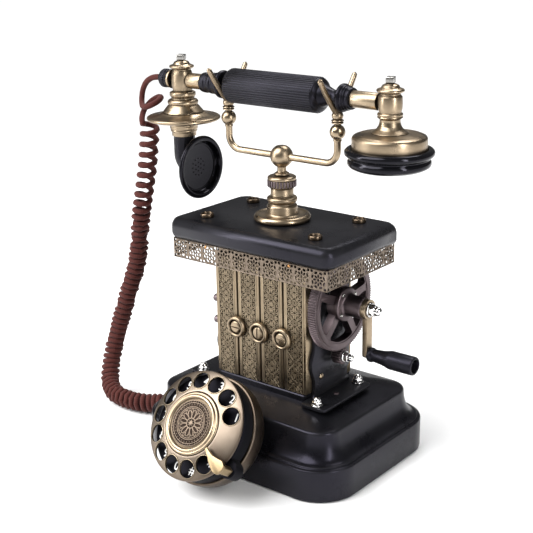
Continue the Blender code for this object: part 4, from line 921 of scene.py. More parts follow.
def make_magnet(number):
    node = f"magnet_{number}"
    low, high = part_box(node)
    centre = (low + high) / 2
    depth, leg, bridge = high.y, 12 * MM, 10 * MM
    outline = [
        (-depth, low.z), (-depth + leg, low.z), (-depth + leg, high.z - bridge), (depth - leg, high.z - bridge),
        (depth - leg, low.z), (depth, low.z), (depth, high.z), (-depth, high.z),
    ]
    width = high.x - low.x
    bar = flat(f"magnet_bar_{number}", [outline], width, moved(centre.x, 0, 0) @ UPRIGHT,
               edge=0.7 * MM, segments=3)
    dress(bar, ROOT, "border", node)

    rows = bpy.context.scene.phone_sizes.tile_rows
    height = high.z - low.z
    field_half = width / 2 - 3.1 * MM
    row = height / rows
    grounds, reliefs = [], []
    for side in (0, 1):
        turn = Matrix.Rotation(math.pi * side, 4, "Z")
        face = turn @ moved(0, -depth, 0) @ FACING_FRONT
        place = moved(centre.x, 0, centre.z) @ face
        panel = block(f"field_{side}", (2 * field_half + 0.4 * MM, height - 1.6 * MM, 0.3 * MM), place, 0.1 * MM, 1)
        grounds.append(panel)
        tile = wires("tile", relief_tile(field_half, row / 2), 0.27 * MM)
        reliefs.append(gridded(f"relief_{side}", tile, place @ moved(z=0.16 * MM),
                               1, rows, field_half, row))
        for edge in (-1, 1):
            strip = block("strip", (0.9 * MM, height - 1.4 * MM, 0.8 * MM),
                          place @ moved(edge * (field_half + 0.5 * MM), 0, 0), 0.3 * MM, 2)
            reliefs.append(strip)
    dress(joined(f"magnet_ground_{number}", grounds), ROOT, "ground")
    dress(joined(f"magnet_relief_{number}", reliefs), ROOT, "relief", angle=60)


def make_boss(number):
    node = f"boss_{number}"
    low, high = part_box(node)
    centre = (low + high) / 2
    rim = (high.z - low.z) / 2 + 0.4 * MM
    place = moved(centre.x, high.y, centre.z) @ FACING_FRONT
    ring = turned(f"boss_ring_{number}", [
        (0, 1.0 * MM), mm(5.3, 1.0), mm(5.6, 3.2), mm(6.3, 3.9), (rim - 0.5 * MM, 3.4 * MM),
        (rim, 2.0 * MM), (rim, 0), (0, 0),
    ], place, 64)
    dress(ring, ROOT, "brass", node)
    head = turned("head", pairs((0, 3.8), (3.6, 3.6), (4.6, 2.9), (4.6, 0.9), (0, 0.9)),
                  None, 48)
    turn = QUARTER if number == 2 else 0
    slot = block("slot", mm(10, 1.1, 2.4), Matrix.Rotation(turn, 4, "Z") @ moved(z=4.1 * MM),
                 0.1 * MM, 1)
    head = boolean(head, slot)
    head.name = f"boss_screw_{number}"
    head.data.transform(place)
    dress(head, ROOT, "brass")


class PHONE_OT_magnets(bpy.types.Operator):
    """Make the four relief-faced magnets and the slotted bosses that clamp them"""
    bl_idname = "phone.magnets"
    bl_label = "Magnets"

    def execute(self, context):
        for number in range(1, 5):
            make_magnet(number)
        for number in range(1, 4):
            make_boss(number)
        return {"FINISHED"}


# ---------------------------------------------------------------- side plates

def make_side_plate(side, name):
    node = f"side_plate_{name}"
    low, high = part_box(node)
    inner = 41.9 * MM
    top, bottom = high.z, low.z
    front = []
    for i in range(41):
        z = bottom + 45.5 * MM * i / 40
        swell = math.cos(QUARTER * min(1, abs(z - 80 * MM) / (15 * MM))) ** 2
        toe = max(0, 1 - (z - bottom) / (8 * MM)) ** 2
        front.append((-21 * MM - 3.9 * MM * swell - 4 * MM * toe, z))
    notch = pairs((21, 68), (18.5, 66.5), (18.5, 60), (21, 58.5))
    outline = front + [(-21 * MM, top), (21 * MM, top)] + notch + [(21 * MM, bottom)]
    holes = [loop(4.3 * MM, 28, (0, CRANK_Z)), loop(2.5 * MM, 20, (0, PINION_Z))]
    plate = flat(f"side_plate_{name}_upright", [outline] + holes, 3 * MM,
                 moved(side * (inner + 1.5 * MM), 0, 0) @ UPRIGHT, edge=0.4 * MM)
    dress(plate, ROOT, "lacquer", node)
    foot_x = side * (inner + 10.75 * MM)
    foot = flat(f"side_plate_{name}_foot", [rounded_rectangle(10.75 * MM, 30 * MM, 3.5 * MM, 6)], 2 * MM,
                moved(foot_x, -6 * MM, 54.4 * MM), edge=0.6 * MM, segments=3)
    dress(foot, ROOT, "lacquer")

    for label, place in (
        ("foot", moved(foot_x, -6 * MM, 55.2 * MM)),
        ("plate", moved(side * (inner + 3 * MM), -13.9 * MM, 69.7 * MM)
         @ (ALONG_X if side > 0 else AGAINST_X)),
    ):
        head = turned("head", pairs((0, 1.0), (1.2, 0.95), (2.1, 0.5), (2.3, 0), (0, 0)), None, 28)
        cross = joined("cross", [block("a", mm(5, 0.55, 0.9), moved(z=1 * MM), 0.05 * MM, 1)])
        head = boolean(head, cross)
        head.name = f"{label}_screw_{name}"
        head.data.transform(place)
        finish = "iron" if label == "foot" else "brass"
        dress(head, ROOT, finish, slot="aged_brass")


def acorn_nut(name, place, radius, height, body, *nodes, washer=True):
    """A hexagon cap nut with a dome, on a plain washer."""
    hexagon = [(radius * 0.9 * math.cos(TURN * i / 6), radius * 0.9 * math.sin(TURN * i / 6)) for i in range(6)]
    skirt = flat("skirt", [hexagon], 0.34 * height, moved(z=0.18 * height + 1.1 * MM), 0.3 * MM, 2)
    cap = 0.62 * radius
    dome = [(cap * math.sin(a), height - cap * (1 - math.cos(a))) for a in (QUARTER * i / 8 for i in range(9))]
    neck = 0.36 * height + 1.0 * MM
    crown = turned("crown", dome + [(cap, neck + 0.3 * MM), (0.78 * radius, neck - 0.4 * MM), (0, neck - 0.4 * MM)],
                   None, 40, 0.15 * MM)
    pieces = [skirt, crown]
    if washer:
        pieces.append(turned("washer", [(0, 1.1 * MM), (0.9 * radius, 1.1 * MM), (radius, 0.8 * MM), (radius, 0),
                (0, 0)],
                             None, 40, 0.15 * MM))
    nut = joined(name, pieces)
    nut.data.transform(place)
    return dress(nut, body, "chrome", *nodes)


class PHONE_OT_side_plates(bpy.types.Operator):
    """Make the two bearing plates with their feet, screws and cap nuts"""
    bl_idname = "phone.side_plates"
    bl_label = "Side plates"

    def execute(self, context):
        for side, name in ((-1, "left"), (1, "right")):
            make_side_plate(side, name)
            for end in ("front", "back"):
                node = f"foot_nut_{end}_{name}"
                low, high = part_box(node)
                middle = (low + high) / 2
                acorn_nut(f"cap_nut_{end}_{name}", moved(middle.x, middle.y, low.z),
                          (high.x - low.x) / 2, high.z - low.z, ROOT, node)
        knob = turned("knob", pairs((0, 5.6), (2.2, 5.4), (2.9, 4.6), (2.9, 0), (0, 0)), None, 28)
        place = Matrix.Translation(mm(-41.3, -23.6, 105.5)) @ AGAINST_X
        knobs = gridded("clamp_screw_heads", knob, place, 2, 1, 17 * MM, 1 * MM)
        dress(knobs, ROOT, "iron", slot="aged_brass")
        return {"FINISHED"}


# ---------------------------------------------------------------- lid and frieze

def rosette_tile(width, height, thickness):
    """One pierced square of the frieze: a rosette of eight petals in a round frame."""
    half_x, half_y = width / 2 + 0.02 * MM, height / 2
    outline = [(-half_x, -half_y), (half_x, -half_y), (half_x, half_y), (-half_x, half_y)]
    holes = [loop(1.0 * MM, 8)]
    for i in range(8):
        turn = TURN * i / 8
        holes.append(loop(1.4 * MM, 10, (2.95 * MM * math.cos(turn), 2.95 * MM * math.sin(turn)), 0.86 * MM, turn))
        turn += TURN / 16
        holes.append(loop(0.92 * MM, 10, (5.2 * MM * math.cos(turn), 5.2 * MM * math.sin(turn)), 1.5 * MM, turn))
    for sx in (-1, 1):
        for sy in (-1, 1):
            holes.append(loop(1.2 * MM, 9, (sx * 5.5 * MM, sy * 5.9 * MM), 1.15 * MM, math.atan2(sy, sx)))
    return flat("tile", [outline] + holes, thickness, edge=0)


def make_frieze():
    sizes = bpy.context.scene.phone_sizes
    low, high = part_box("frieze")
    height, middle = high.z - low.z, (high.z + low.z) / 2
    wall = 0.8 * MM
    bands = []
    for quarter, (span, reach, count) in enumerate((
            (2 * high.x, high.y, sizes.rosettes_front), (2 * high.y, high.x, sizes.rosettes_side)) * 2):
        turn = Matrix.Rotation(quarter * math.pi / 2, 4, "Z")
        place = moved(z=middle) @ turn @ moved(0, -reach + wall / 2, 0) @ FACING_FRONT
        width = (span - (0 if quarter % 2 == 0 else 2 * wall)) / count
        bands.append(gridded(f"band_{quarter}", rosette_tile(width, height, wall), place, count, 1, width, height))
        line = block("line", (span, 0.7 * MM, 1.2 * MM), None, 0.2 * MM, 1)
        bands.append(gridded("lines", line, place, 1, 2, span, height - 0.7 * MM))
        frame_line = wires("frame_line", [(loop(6.35 * MM, 24), True), (loop(1.5 * MM, 12), True)], 0.26 * MM)
        bands.append(gridded("frames", frame_line, place @ moved(z=wall / 2), count, 1, width, height))
    dress(joined("pierced_frieze", bands), ROOT, "frieze", "frieze", angle=50)
    rivet = ball("rivet", 1.1 * MM, 0.6, 14)
    rivets = gridded("frieze_rivets", rivet,
                     moved(0, -high.y - 0.1 * MM, high.z - 2 * MM) @ FACING_FRONT, 2, 1, 76 * MM, 1 * MM)
    dress(rivets, ROOT, "copper")


def make_lid():
    lid = rounded_lid(*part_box("lid"))
    dress(lid, ROOT, "lacquer", "lid", angle=44)
    for number in range(1, 5):
        node = f"lid_screw_{number}"
        low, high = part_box(node)
        middle, radius, height = (low + high) / 2, (high.x - low.x) / 2, high.z - low.z
        cup = turned("cup", [
            (0, 0.9 * MM), (radius - 1.5 * MM, 0.9 * MM), (radius - 1.1 * MM, height), (radius - 0.4 * MM, height),
            (radius, height - 0.7 * MM), (radius, 0), (0, 0),
        ], None, 44, 0.25 * MM)
        cup.name = f"screw_cup_{number}"
        place = moved(middle.x, middle.y, low.z)
        cup.data.transform(place)
        dress(cup, ROOT, "bronze", node)
        head = turned("head", pairs((0, 2), (1.6, 1.9), (2.9, 1.3), (3, 0.8), (0, 0.8)),
                      None, 32)
        turn = Matrix.Rotation(math.radians(30 + 50 * number), 4, "Z")
        for angle in (0, QUARTER):
            bar = block("bar", mm(4.4, 0.7, 1.6),
                        turn @ Matrix.Rotation(angle, 4, "Z") @ moved(z=2.1 * MM), 0.05 * MM, 1)
            head = boolean(head, bar)
        head.name = f"screw_head_{number}"
        head.data.transform(place)
        dress(head, ROOT, "bronze")


def rounded_lid(low, high):
    """The lid's outline drawn in towards the top and bottom along a rounded edge."""
    rounding, steps = 6.4 * MM, 9
    bottom, top = low.z, high.z
    levels = []
    for i in range(steps + 1):
        turn = QUARTER * i / steps
        levels.append((rounding * (1 - math.sin(turn)) * 0.62, bottom + rounding * 0.62 * (1 - math.cos(turn))))
    for i in range(steps + 1):
        turn = QUARTER * i / steps
        levels.append((rounding * (1 - math.cos(turn)), top - rounding * (1 - math.sin(turn))))
    half_x, half_y = high.x, high.y
    cut = 7.4 * MM
    shape = bmesh.new()
    rings = []
    for inset, z in levels:
        ring = []
        for sx, sy in ((1, 1), (-1, 1), (-1, -1), (1, -1)):
            clipped = cut - 0.42 * inset
            ends = [(sx * (half_x - inset), sy * (half_y - inset - clipped)),
                    (sx * (half_x - inset - clipped), sy * (half_y - inset))]
            ends = ends if sx * sy > 0 else ends[::-1]
            middle = ((ends[0][0] + ends[1][0]) / 2 + sx * 0.5 * MM, (ends[0][1] + ends[1][1]) / 2 + sy * 0.5 * MM)
            ring += [shape.verts.new((x, y, z)) for x, y in (ends[0], middle, ends[1])]
        rings.append(ring)
    for low, high in zip(rings, rings[1:]):
        for i in range(len(low)):
            j = (i + 1) % len(low)
            shape.faces.new((low[i], low[j], high[j], high[i]))
    shape.faces.new(rings[-1])
    shape.faces.new(list(reversed(rings[0])))
    lid = from_shape("lid_board", shape)
    hole = drum("stem_cut", 3.7 * MM, 40 * MM, 28)
    hole.data.transform(moved(z=top))
    return boolean(lid, hole)


class PHONE_OT_lid(bpy.types.Operator):
    """Make the lid with its screws and the pierced frieze under it"""
    bl_idname = "phone.lid"
    bl_label = "Lid and frieze"

    def execute(self, context):
        make_lid()
        make_frieze()
        return {"FINISHED"}


# ---------------------------------------------------------------- pedestal and cradle

def make_pedestal():
    low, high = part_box("pedestal")
    foot, top = low.z, high.z
    profile = [(r * MM, foot + h * MM) for r, h in (
        (3.7, 23.6), (8.3, 23.6), (8.3, 19.2), (8.6, 18.6), (8.3, 18.0), (8.3, 17.4), (10.4, 17.2), (11.1, 16.2),
        (11.1, 14.6), (10.4, 13.6), (9.6, 13.0), (9.5, 12.2), (10.6, 11.4), (11.1, 10.4), (11.1, 5.2), (12.2, 4.2),
        (13.2, 3.9), (16.6, 4.2), (18.2, 4.9), (19.4, 4.6), (20.5, 3.4), (20.9, 2.0), (20.5, 0.7), (19.6, 0), (3.7, 0),
    )]
    dress(turned("pedestal_column", profile, None, 96, 0.5 * MM, hollow=True), ROOT, "brass_upright", "pedestal")
    low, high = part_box("pedestal_collar")
    base, height, radius = low.z, high.z - low.z, high.x
    collar = turned("collar", [
        (3.7 * MM, base + height), (radius - 1.4 * MM, base + height), (radius - 0.3 * MM, base + height - 0.9 * MM),
        (radius - 0.3 * MM, base + height - 2.4 * MM), (radius - 0.7 * MM, base + height - 2.8 * MM),
        (radius - 0.7 * MM, base + 0.8 * MM), (radius - 1.6 * MM, base), (3.7 * MM, base),
    ], None, 72, 0.3 * MM, hollow=True)
    dress(collar, ROOT, "brass", "pedestal_collar", slot="gunmetal")
    facet = block("facet", (0.9 * MM, 1.7 * MM, height - 3.9 * MM), None, 0.35 * MM, 2)
    knurl = around("collar_knurl", facet, moved(z=base + (height - 3.9 * MM) / 2 + 1 * MM),
                   26, radius - 0.55 * MM)
    dress(knurl, ROOT, "iron", angle=50)


def make_cradle():
    low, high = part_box("cradle_ball")
    foot = low.z
    centre, radius, neck = 223.3 * MM, 8.3 * MM, 3.3 * MM
    shoulder = 209.4 * MM
    start, stop = math.asin(0.42), math.pi - math.asin(neck / radius)
    round_part = [(radius * math.sin(a), centre + radius * math.cos(a))
                  for a in (start + (stop - start) * i / 24 for i in range(25))]
    profile = [(0, round_part[0][1])] + round_part + [
        (neck, shoulder + 3.2 * MM), (4.2 * MM, shoulder + 2.4 * MM), (5.4 * MM, shoulder + 1.8 * MM),
        (5.6 * MM, shoulder + 0.9 * MM), (5.2 * MM, shoulder + 0.2 * MM), (3.2 * MM, shoulder + 0.2 * MM),
        (3.2 * MM, foot), (0, foot),
    ]
    dress(turned("cradle_knob", profile, None, 72, 0.2 * MM), "cradle", "brass_upright", "cradle_ball")
    for side, name in ((-1, "left"), (1, "right")):
        fork_x, bend, top = FORK_X, 10 * MM, 241 * MM
        path = [(radius - 0.6 * MM, 0), (radius + 1 * MM, 0)]
        path += [(fork_x - bend * (1 - math.sin(a)), bend * (1 - math.cos(a))) for a in (QUARTER * i / 16 for i in range(17))]
        path += [(fork_x, top - centre)]
        arm = sweep(f"cradle_bar_{name}", [(side * x, 0, centre + z) for x, z in path], 2.5 * MM, 20)
        dress(weld(arm), "cradle", "brass", f"cradle_arm_{name}")
        make_fork(side, name)


def make_fork(side, name):
    x = side * FORK_X
    ball_z, ball_r, knob_z = 245.9 * MM, 5.5 * MM, 257.5 * MM
    rounds = [(ball_r * math.sin(a), ball_z + ball_r * math.cos(a))
              for a in (math.radians(26) + (math.radians(150) - math.radians(26)) * i / 18 for i in range(19))]
    profile = [(0, knob_z + 3.2 * MM), (1.8 * MM, knob_z + 2.9 * MM), (3.4 * MM, knob_z + 1.8 * MM), (4.1 * MM, knob_z),
               (3.9 * MM, knob_z - 1.8 * MM), (3.0 * MM, knob_z - 2.8 * MM), (4.3 * MM, knob_z - 3.2 * MM),
               (4.5 * MM, knob_z - 3.9 * MM), (3.4 * MM, knob_z - 4.4 * MM), (4.3 * MM, knob_z - 4.9 * MM),
               (4.2 * MM, knob_z - 5.6 * MM), (2.5 * MM, ball_z + ball_r + 0.2 * MM)] + rounds
    profile += pairs((3.0, 240.4), (3.0, 239.6), (0, 239.6))
    stem = turned("stem", profile, moved(x, 0, 0), 56, 0.3 * MM)
    prongs = []
    for direction in (-1, 1):
        route, radii = [], []
        for i in range(25):
            t = i / 24
            spread = 21 * MM * (0.72 * math.sin(QUARTER * t) + 0.28 * t ** 3)
            route.append((x, direction * spread, knob_z + 26.5 * MM * t))
            radii.append((2.25 - 0.45 * t) * MM * math.sqrt(max(0.02, 1 - max(0, (t - 0.93) / 0.07) ** 2)))
        prongs.append(sweep("prong", route, radii, 18))
    fork = joined(f"cradle_fork_{name}", [stem] + [weld(p) for p in prongs])
    dress(fork, "cradle", "brass", f"fork_{name}")


class PHONE_OT_cradle(bpy.types.Operator):
    """Make the pedestal with its knurled collar, and the cradle with its forks"""
    bl_idname = "phone.cradle"
    bl_label = "Pedestal and cradle"

    def execute(self, context):
        make_pedestal()
        make_cradle()
        return {"FINISHED"}


# ---------------------------------------------------------------- handset


def make_grip():
    axis = moved(z=HANDSET_Z) @ ALONG_X
    start, end, radius = -45.8 * MM, 35.7 * MM, 12.6 * MM
    core = [(0, end + 1.6 * MM), (8.5 * MM, end + 1.2 * MM), (radius - 1 * MM, end - 0.6 * MM),
            (radius - 0.5 * MM, end - 2 * MM), (radius - 0.5 * MM, start + 2 * MM), (radius - 1 * MM, start + 0.8 * MM),
            (8.5 * MM, start - 0.6 * MM), (0, start - 0.6 * MM)]
    ends = [turned("core", core, axis, 88, 0.8 * MM)]
    for profile in (
        [(0, 61.5), (7.2, 61.5), (7.6, 60.2), (7.4, 59.4), (7.9, 58.6), (8.3, 58.2), (7.9, 57.6), (8.3, 57),
                (8.8, 56.6),
         (8.5, 55.8), (9.0, 55.2), (9.7, 54.4), (9.6, 52.8), (8.6, 51.8), (4.6, 50.9), (4.4, 46.5), (7.6, 38.6),
         (8.6, 36), (0, 36)],
        [(0, -44), (9.4, -44.6), (8.8, -46), (4.4, -46.6), (4.4, -50.9), (9.4, -51.6), (10.2, -52.8), (10.2, -54),
         (9.4, -55), (8.2, -55.4), (8.2, -58.6), (7.2, -59.6), (7.2, -60.8), (7.7, -61.6), (7.7, -63.4), (7.1, -64.2),
         (7.1, -66.6), (7.5, -67.4), (7.3, -71), (6.9, -72), (0, -72)],
    ):
        ends.append(turned("end", [(r * MM, z * MM) for r, z in profile], axis, 64, 0.35 * MM))
    dress(joined("grip_core", ends), "handset", "plastic", "grip")
    flutes = bpy.context.scene.phone_sizes.flutes
    rib = block("rib", (1.0 * MM, 1.05 * MM, end - start - 3.6 * MM), None, 0.42 * MM, 2)
    ribs = around("grip_flutes", rib, axis @ moved(z=(start + end) / 2), flutes, radius - 0.6 * MM)
    dress(ribs, "handset", "plastic", angle=60)


def head_top(top):
    """Profile of a head's domed cap, disc and bulging barrel."""
    z = HANDSET_Z
    return [(0, top), (3.4 * MM, top - 0.1 * MM), (5.6 * MM, top - 1.2 * MM), (6.0 * MM, top - 2.2 * MM),
            (6.6 * MM, top - 2.9 * MM), (8.9 * MM, top - 3.7 * MM), (9.4 * MM, top - 4.6 * MM),
                (8.8 * MM, top - 5.5 * MM),
            (7.0 * MM, top - 6.2 * MM), (6.7 * MM, top - 7 * MM), (7.2 * MM, top - 7.8 * MM), (7.9 * MM, z + 4.4 * MM),
            (8.2 * MM, z), (8.0 * MM, z - 3.6 * MM)]


def make_heads():
    rest = pairs(
        (7.3, 262.2), (7.0, 261.6), (8.2, 261.4), (9.8, 260.6), (9.9, 258.6), (9.0, 257.2), (8.6, 256.6), (8.7, 255.8),
        (10.6, 255.2), (11.6, 254), (11.5, 252.4), (10.9, 251.4), (12.0, 250.4), (14.6, 247.2), (15.6, 246), (0, 246))
    place = moved(-94 * MM, 0, 0)
    dress(turned("transmitter_barrel", head_top(284.3 * MM) + rest, place, 80, 0.35 * MM), "handset",
          "brass_upright", "transmitter_body")
    flange = pairs(
        (0, 245.6), (16.2, 245.6), (17.6, 244.6), (20.5, 243.5), (24.2, 242.9), (26.4, 242.9), (27.6, 242.2),
            (28.0, 241.2),
        (27.6, 240.4), (26.2, 239.7), (22.4, 239.1), (14, 238.6), (11.2, 238.3), (10.7, 237.0), (11.0, 236.2),
        (10.6, 235.4), (10.6, 233.4), (10.0, 232.8), (10.3, 232.0), (9.9, 231.2), (9.3, 230.8), (9.3, 227.9),
            (0, 227.9))
    dress(turned("transmitter_bell", flange, place, 96, 0.35 * MM), "handset", "brass_upright", "transmitter_flange")

    rest = pairs(
        (7.6, 264.4), (7.4, 263.6), (8.2, 263.3), (8.7, 262.4), (8.2, 261.4), (8.7, 260.6), (8.0, 259.9), (7.0, 259.4),
        (7.0, 257.4), (7.7, 254.8), (9.0, 252.8), (11.2, 251.2), (12.6, 250.3), (0, 250.3))
    place = moved(RECEIVER_X, 0, 0)
    dress(turned("receiver_barrel", head_top(282.6 * MM) + rest, place, 80, 0.35 * MM), "handset",
          "brass_upright", "receiver_body")
    shell = pairs(
        (0, 250), (14, 250), (21.5, 249.2), (24.2, 248.2), (25.1, 247), (25.2, 245.6), (25.2, 237), (0, 237))
    dress(turned("receiver_shell", shell, place, 110, 0.5 * MM), "handset", "brass_upright", "receiver_drum")
    cap = pairs(
        (0, 236.7), (25.5, 236.7), (25.5, 239.4), (26.6, 240.2), (28.6, 239.7), (29.9, 238.5), (30.2, 237.1),
        (29.8, 235.8), (28.6, 234.7), (27.2, 234.2), (26.9, 233.2), (27.4, 232.5), (28.0, 231.4), (28.0, 229.6),
        (27.4, 228.4), (25.6, 227.2), (23.6, 226.3), (21.6, 226.2), (19.6, 227.2), (8, 228.6), (0, 228.6))
    dress(turned("ear_piece", cap, place, 110, 0.5 * MM), "handset", "gloss", "ear_cap", slot="black_plastic")
    # Painted shade: flat dark discs stand for the shade inside the earpiece holes.
    hole = drum("hole", 0.9 * MM, 0.5 * MM, 14)
    holes = around("ear_holes", hole, place @ moved(z=228.5 * MM), 8, 4.5 * MM)
    dress(holes, "handset", "dark")

    for name, x, top in (("left", -94 * MM, 284.6 * MM), ("right", RECEIVER_X, 282.9 * MM)):
        bolt = block(f"square_bolt_{name}", mm(5.8, 5.8, 4),
                     moved(x, 0, top + 2 * MM) @ Matrix.Rotation(math.radians(20), 4, "Z"), 0.6 * MM)
        dress(bolt, "handset", "steel", f"head_bolt_{name}")
        node = f"handset_tube_{name}"
        low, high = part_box(node)
        start, end = high.x, low.x
        tube = turned(f"arm_tube_{name}", [(0, start), (5.8 * MM, start), (5.8 * MM, end), (0, end)],
                      moved(z=HANDSET_Z) @ ALONG_X, 56, 0.2 * MM)
        dress(tube, "handset", "brass_sideways", node)
    gland = pairs(
        (1.4, 115.9), (3.4, 115.9), (4.4, 115.0), (4.8, 113.4), (6.2, 112.9), (6.6, 112.2), (6.6, 108.2), (6.2, 107.6),
        (6.9, 106.6), (7.0, 105.6), (6.2, 104.8), (5.4, 104.4), (5.4, 102.7), (1.4, 102.7))
    place = moved(z=HANDSET_Z) @ AGAINST_X
    dress(turned("gland_body", gland, place, 56, 0.25 * MM, hollow=True), "handset", "plastic", "cord_gland")
    ridge = block("ridge", mm(0.9, 0.8, 4), None, 0.3 * MM, 2)
    dress(around("gland_knurl", ridge, place @ moved(z=110.2 * MM), 28, 6.6 * MM), "handset",
          "plastic", angle=60)
    band = turned("gland_band", pairs((5.5, 104.6), (7.2, 104.6), (7.2, 102.8), (5.5, 102.8)),
                  place, 56, 0.3 * MM, hollow=True)
    dress(band, "handset", "brass")


def make_horn():
    x, mouth_z, bend = -94 * MM, 205 * MM, 9 * MM
    path = [(x, 0, 227.6 * MM), (x, 0, 222 * MM), (x, 0, 216 * MM)]
    path += [(x + bend * (1 - math.cos(a)), 0, mouth_z + bend * (1 - math.sin(a)))
             for a in (QUARTER * i / 16 for i in range(17))]
    path.append((-84.2 * MM, 0, mouth_z))
    elbow = sweep("horn_elbow", path, 8.2 * MM, 40)
    dress(weld(elbow), "handset", "gloss", "horn")
    face = -76 * MM
    profile = [(r * MM, face + h * MM) for r, h in (
        (0, -4.6), (18.4, -4.6), (19.2, -3.6), (19.6, -1.2), (20.2, -0.2), (21.2, 0), (22.6, 0), (23.5, -0.5),
            (24.0, -1.5),
        (23.8, -2.6), (22.6, -3.6), (20, -4.4), (16.5, -5.6), (13, -7.0), (10, -8.2), (8.7, -8.4), (0, -8.4))]
    place = moved(z=mouth_z) @ ALONG_X
    cup = turned("mouth_cup", profile, place, 96, 0.4 * MM)
    dress(cup, "handset", "gloss", "mouthpiece")
    lip = turned("mouth_line", [(r * MM, face + h * MM) for r,
            h in ((17.0, -4.5), (17.0, -4.1), (17.6, -4.1), (17.6, -4.5))],
                 place, 72, 0.05 * MM, hollow=True)
    dress(lip, "handset", "gloss")
    # Painted shade: flat dark discs stand for the shade inside the mouthpiece perforations.
    holes = []
    for count, radius in ((1, 0.0), (6, 3.2 * MM), (12, 6.4 * MM)):
        hole = drum("hole", 0.62 * MM, 0.3 * MM, 12)
        holes.append(around("holes", hole, place @ moved(z=face - 4.55 * MM), count, radius))
    dress(joined("mouth_holes", holes), "handset", "dark", slot="black_gloss")


class PHONE_OT_handset(bpy.types.Operator):
    """Make the fluted handset with its two heads, horn and cord gland"""
    bl_idname = "phone.handset"
    bl_label = "Handset"

    def execute(self, context):
        make_grip()
        make_heads()
        make_horn()
        return {"FINISHED"}


# ---------------------------------------------------------------- gears and crank

def toothed(teeth, phase, module=0.575 * MM):
    pitch = module * teeth / 2
    tip, root = pitch + 0.72 * module, pitch - 0.98 * module
    points = []
    for i in range(teeth):
        middle = phase + i * TURN / teeth
        for radius, share in ((root, -0.31), (root + 0.6 * (tip - root), -0.2), (tip, -0.1), (tip, 0.1),
                              (root + 0.6 * (tip - root), 0.2), (root, 0.31)):
            angle = middle + share * TURN / teeth
            points.append((radius * math.cos(angle), radius * math.sin(angle)))
    return points


def spoke_window(middle, inner, outer, half_spoke, corner=1.2 * MM):
    half = math.pi / 5
    low, high = half - math.asin(half_spoke / inner), half - math.asin(half_spoke / outer)
    trim_out, trim_in = corner / outer, corner / inner
    points = arc((0, 0), outer, middle - high + trim_out, middle + high - trim_out, 18)
    points.append(((outer - corner) * math.cos(middle + high), (outer - corner) * math.sin(middle + high)))
    points += arc((0, 0), inner, middle + low - trim_in * 0.4, middle - low + trim_in * 0.4, 6)
    points.append(((outer - corner) * math.cos(middle - high), (outer - corner) * math.sin(middle - high)))
    return points


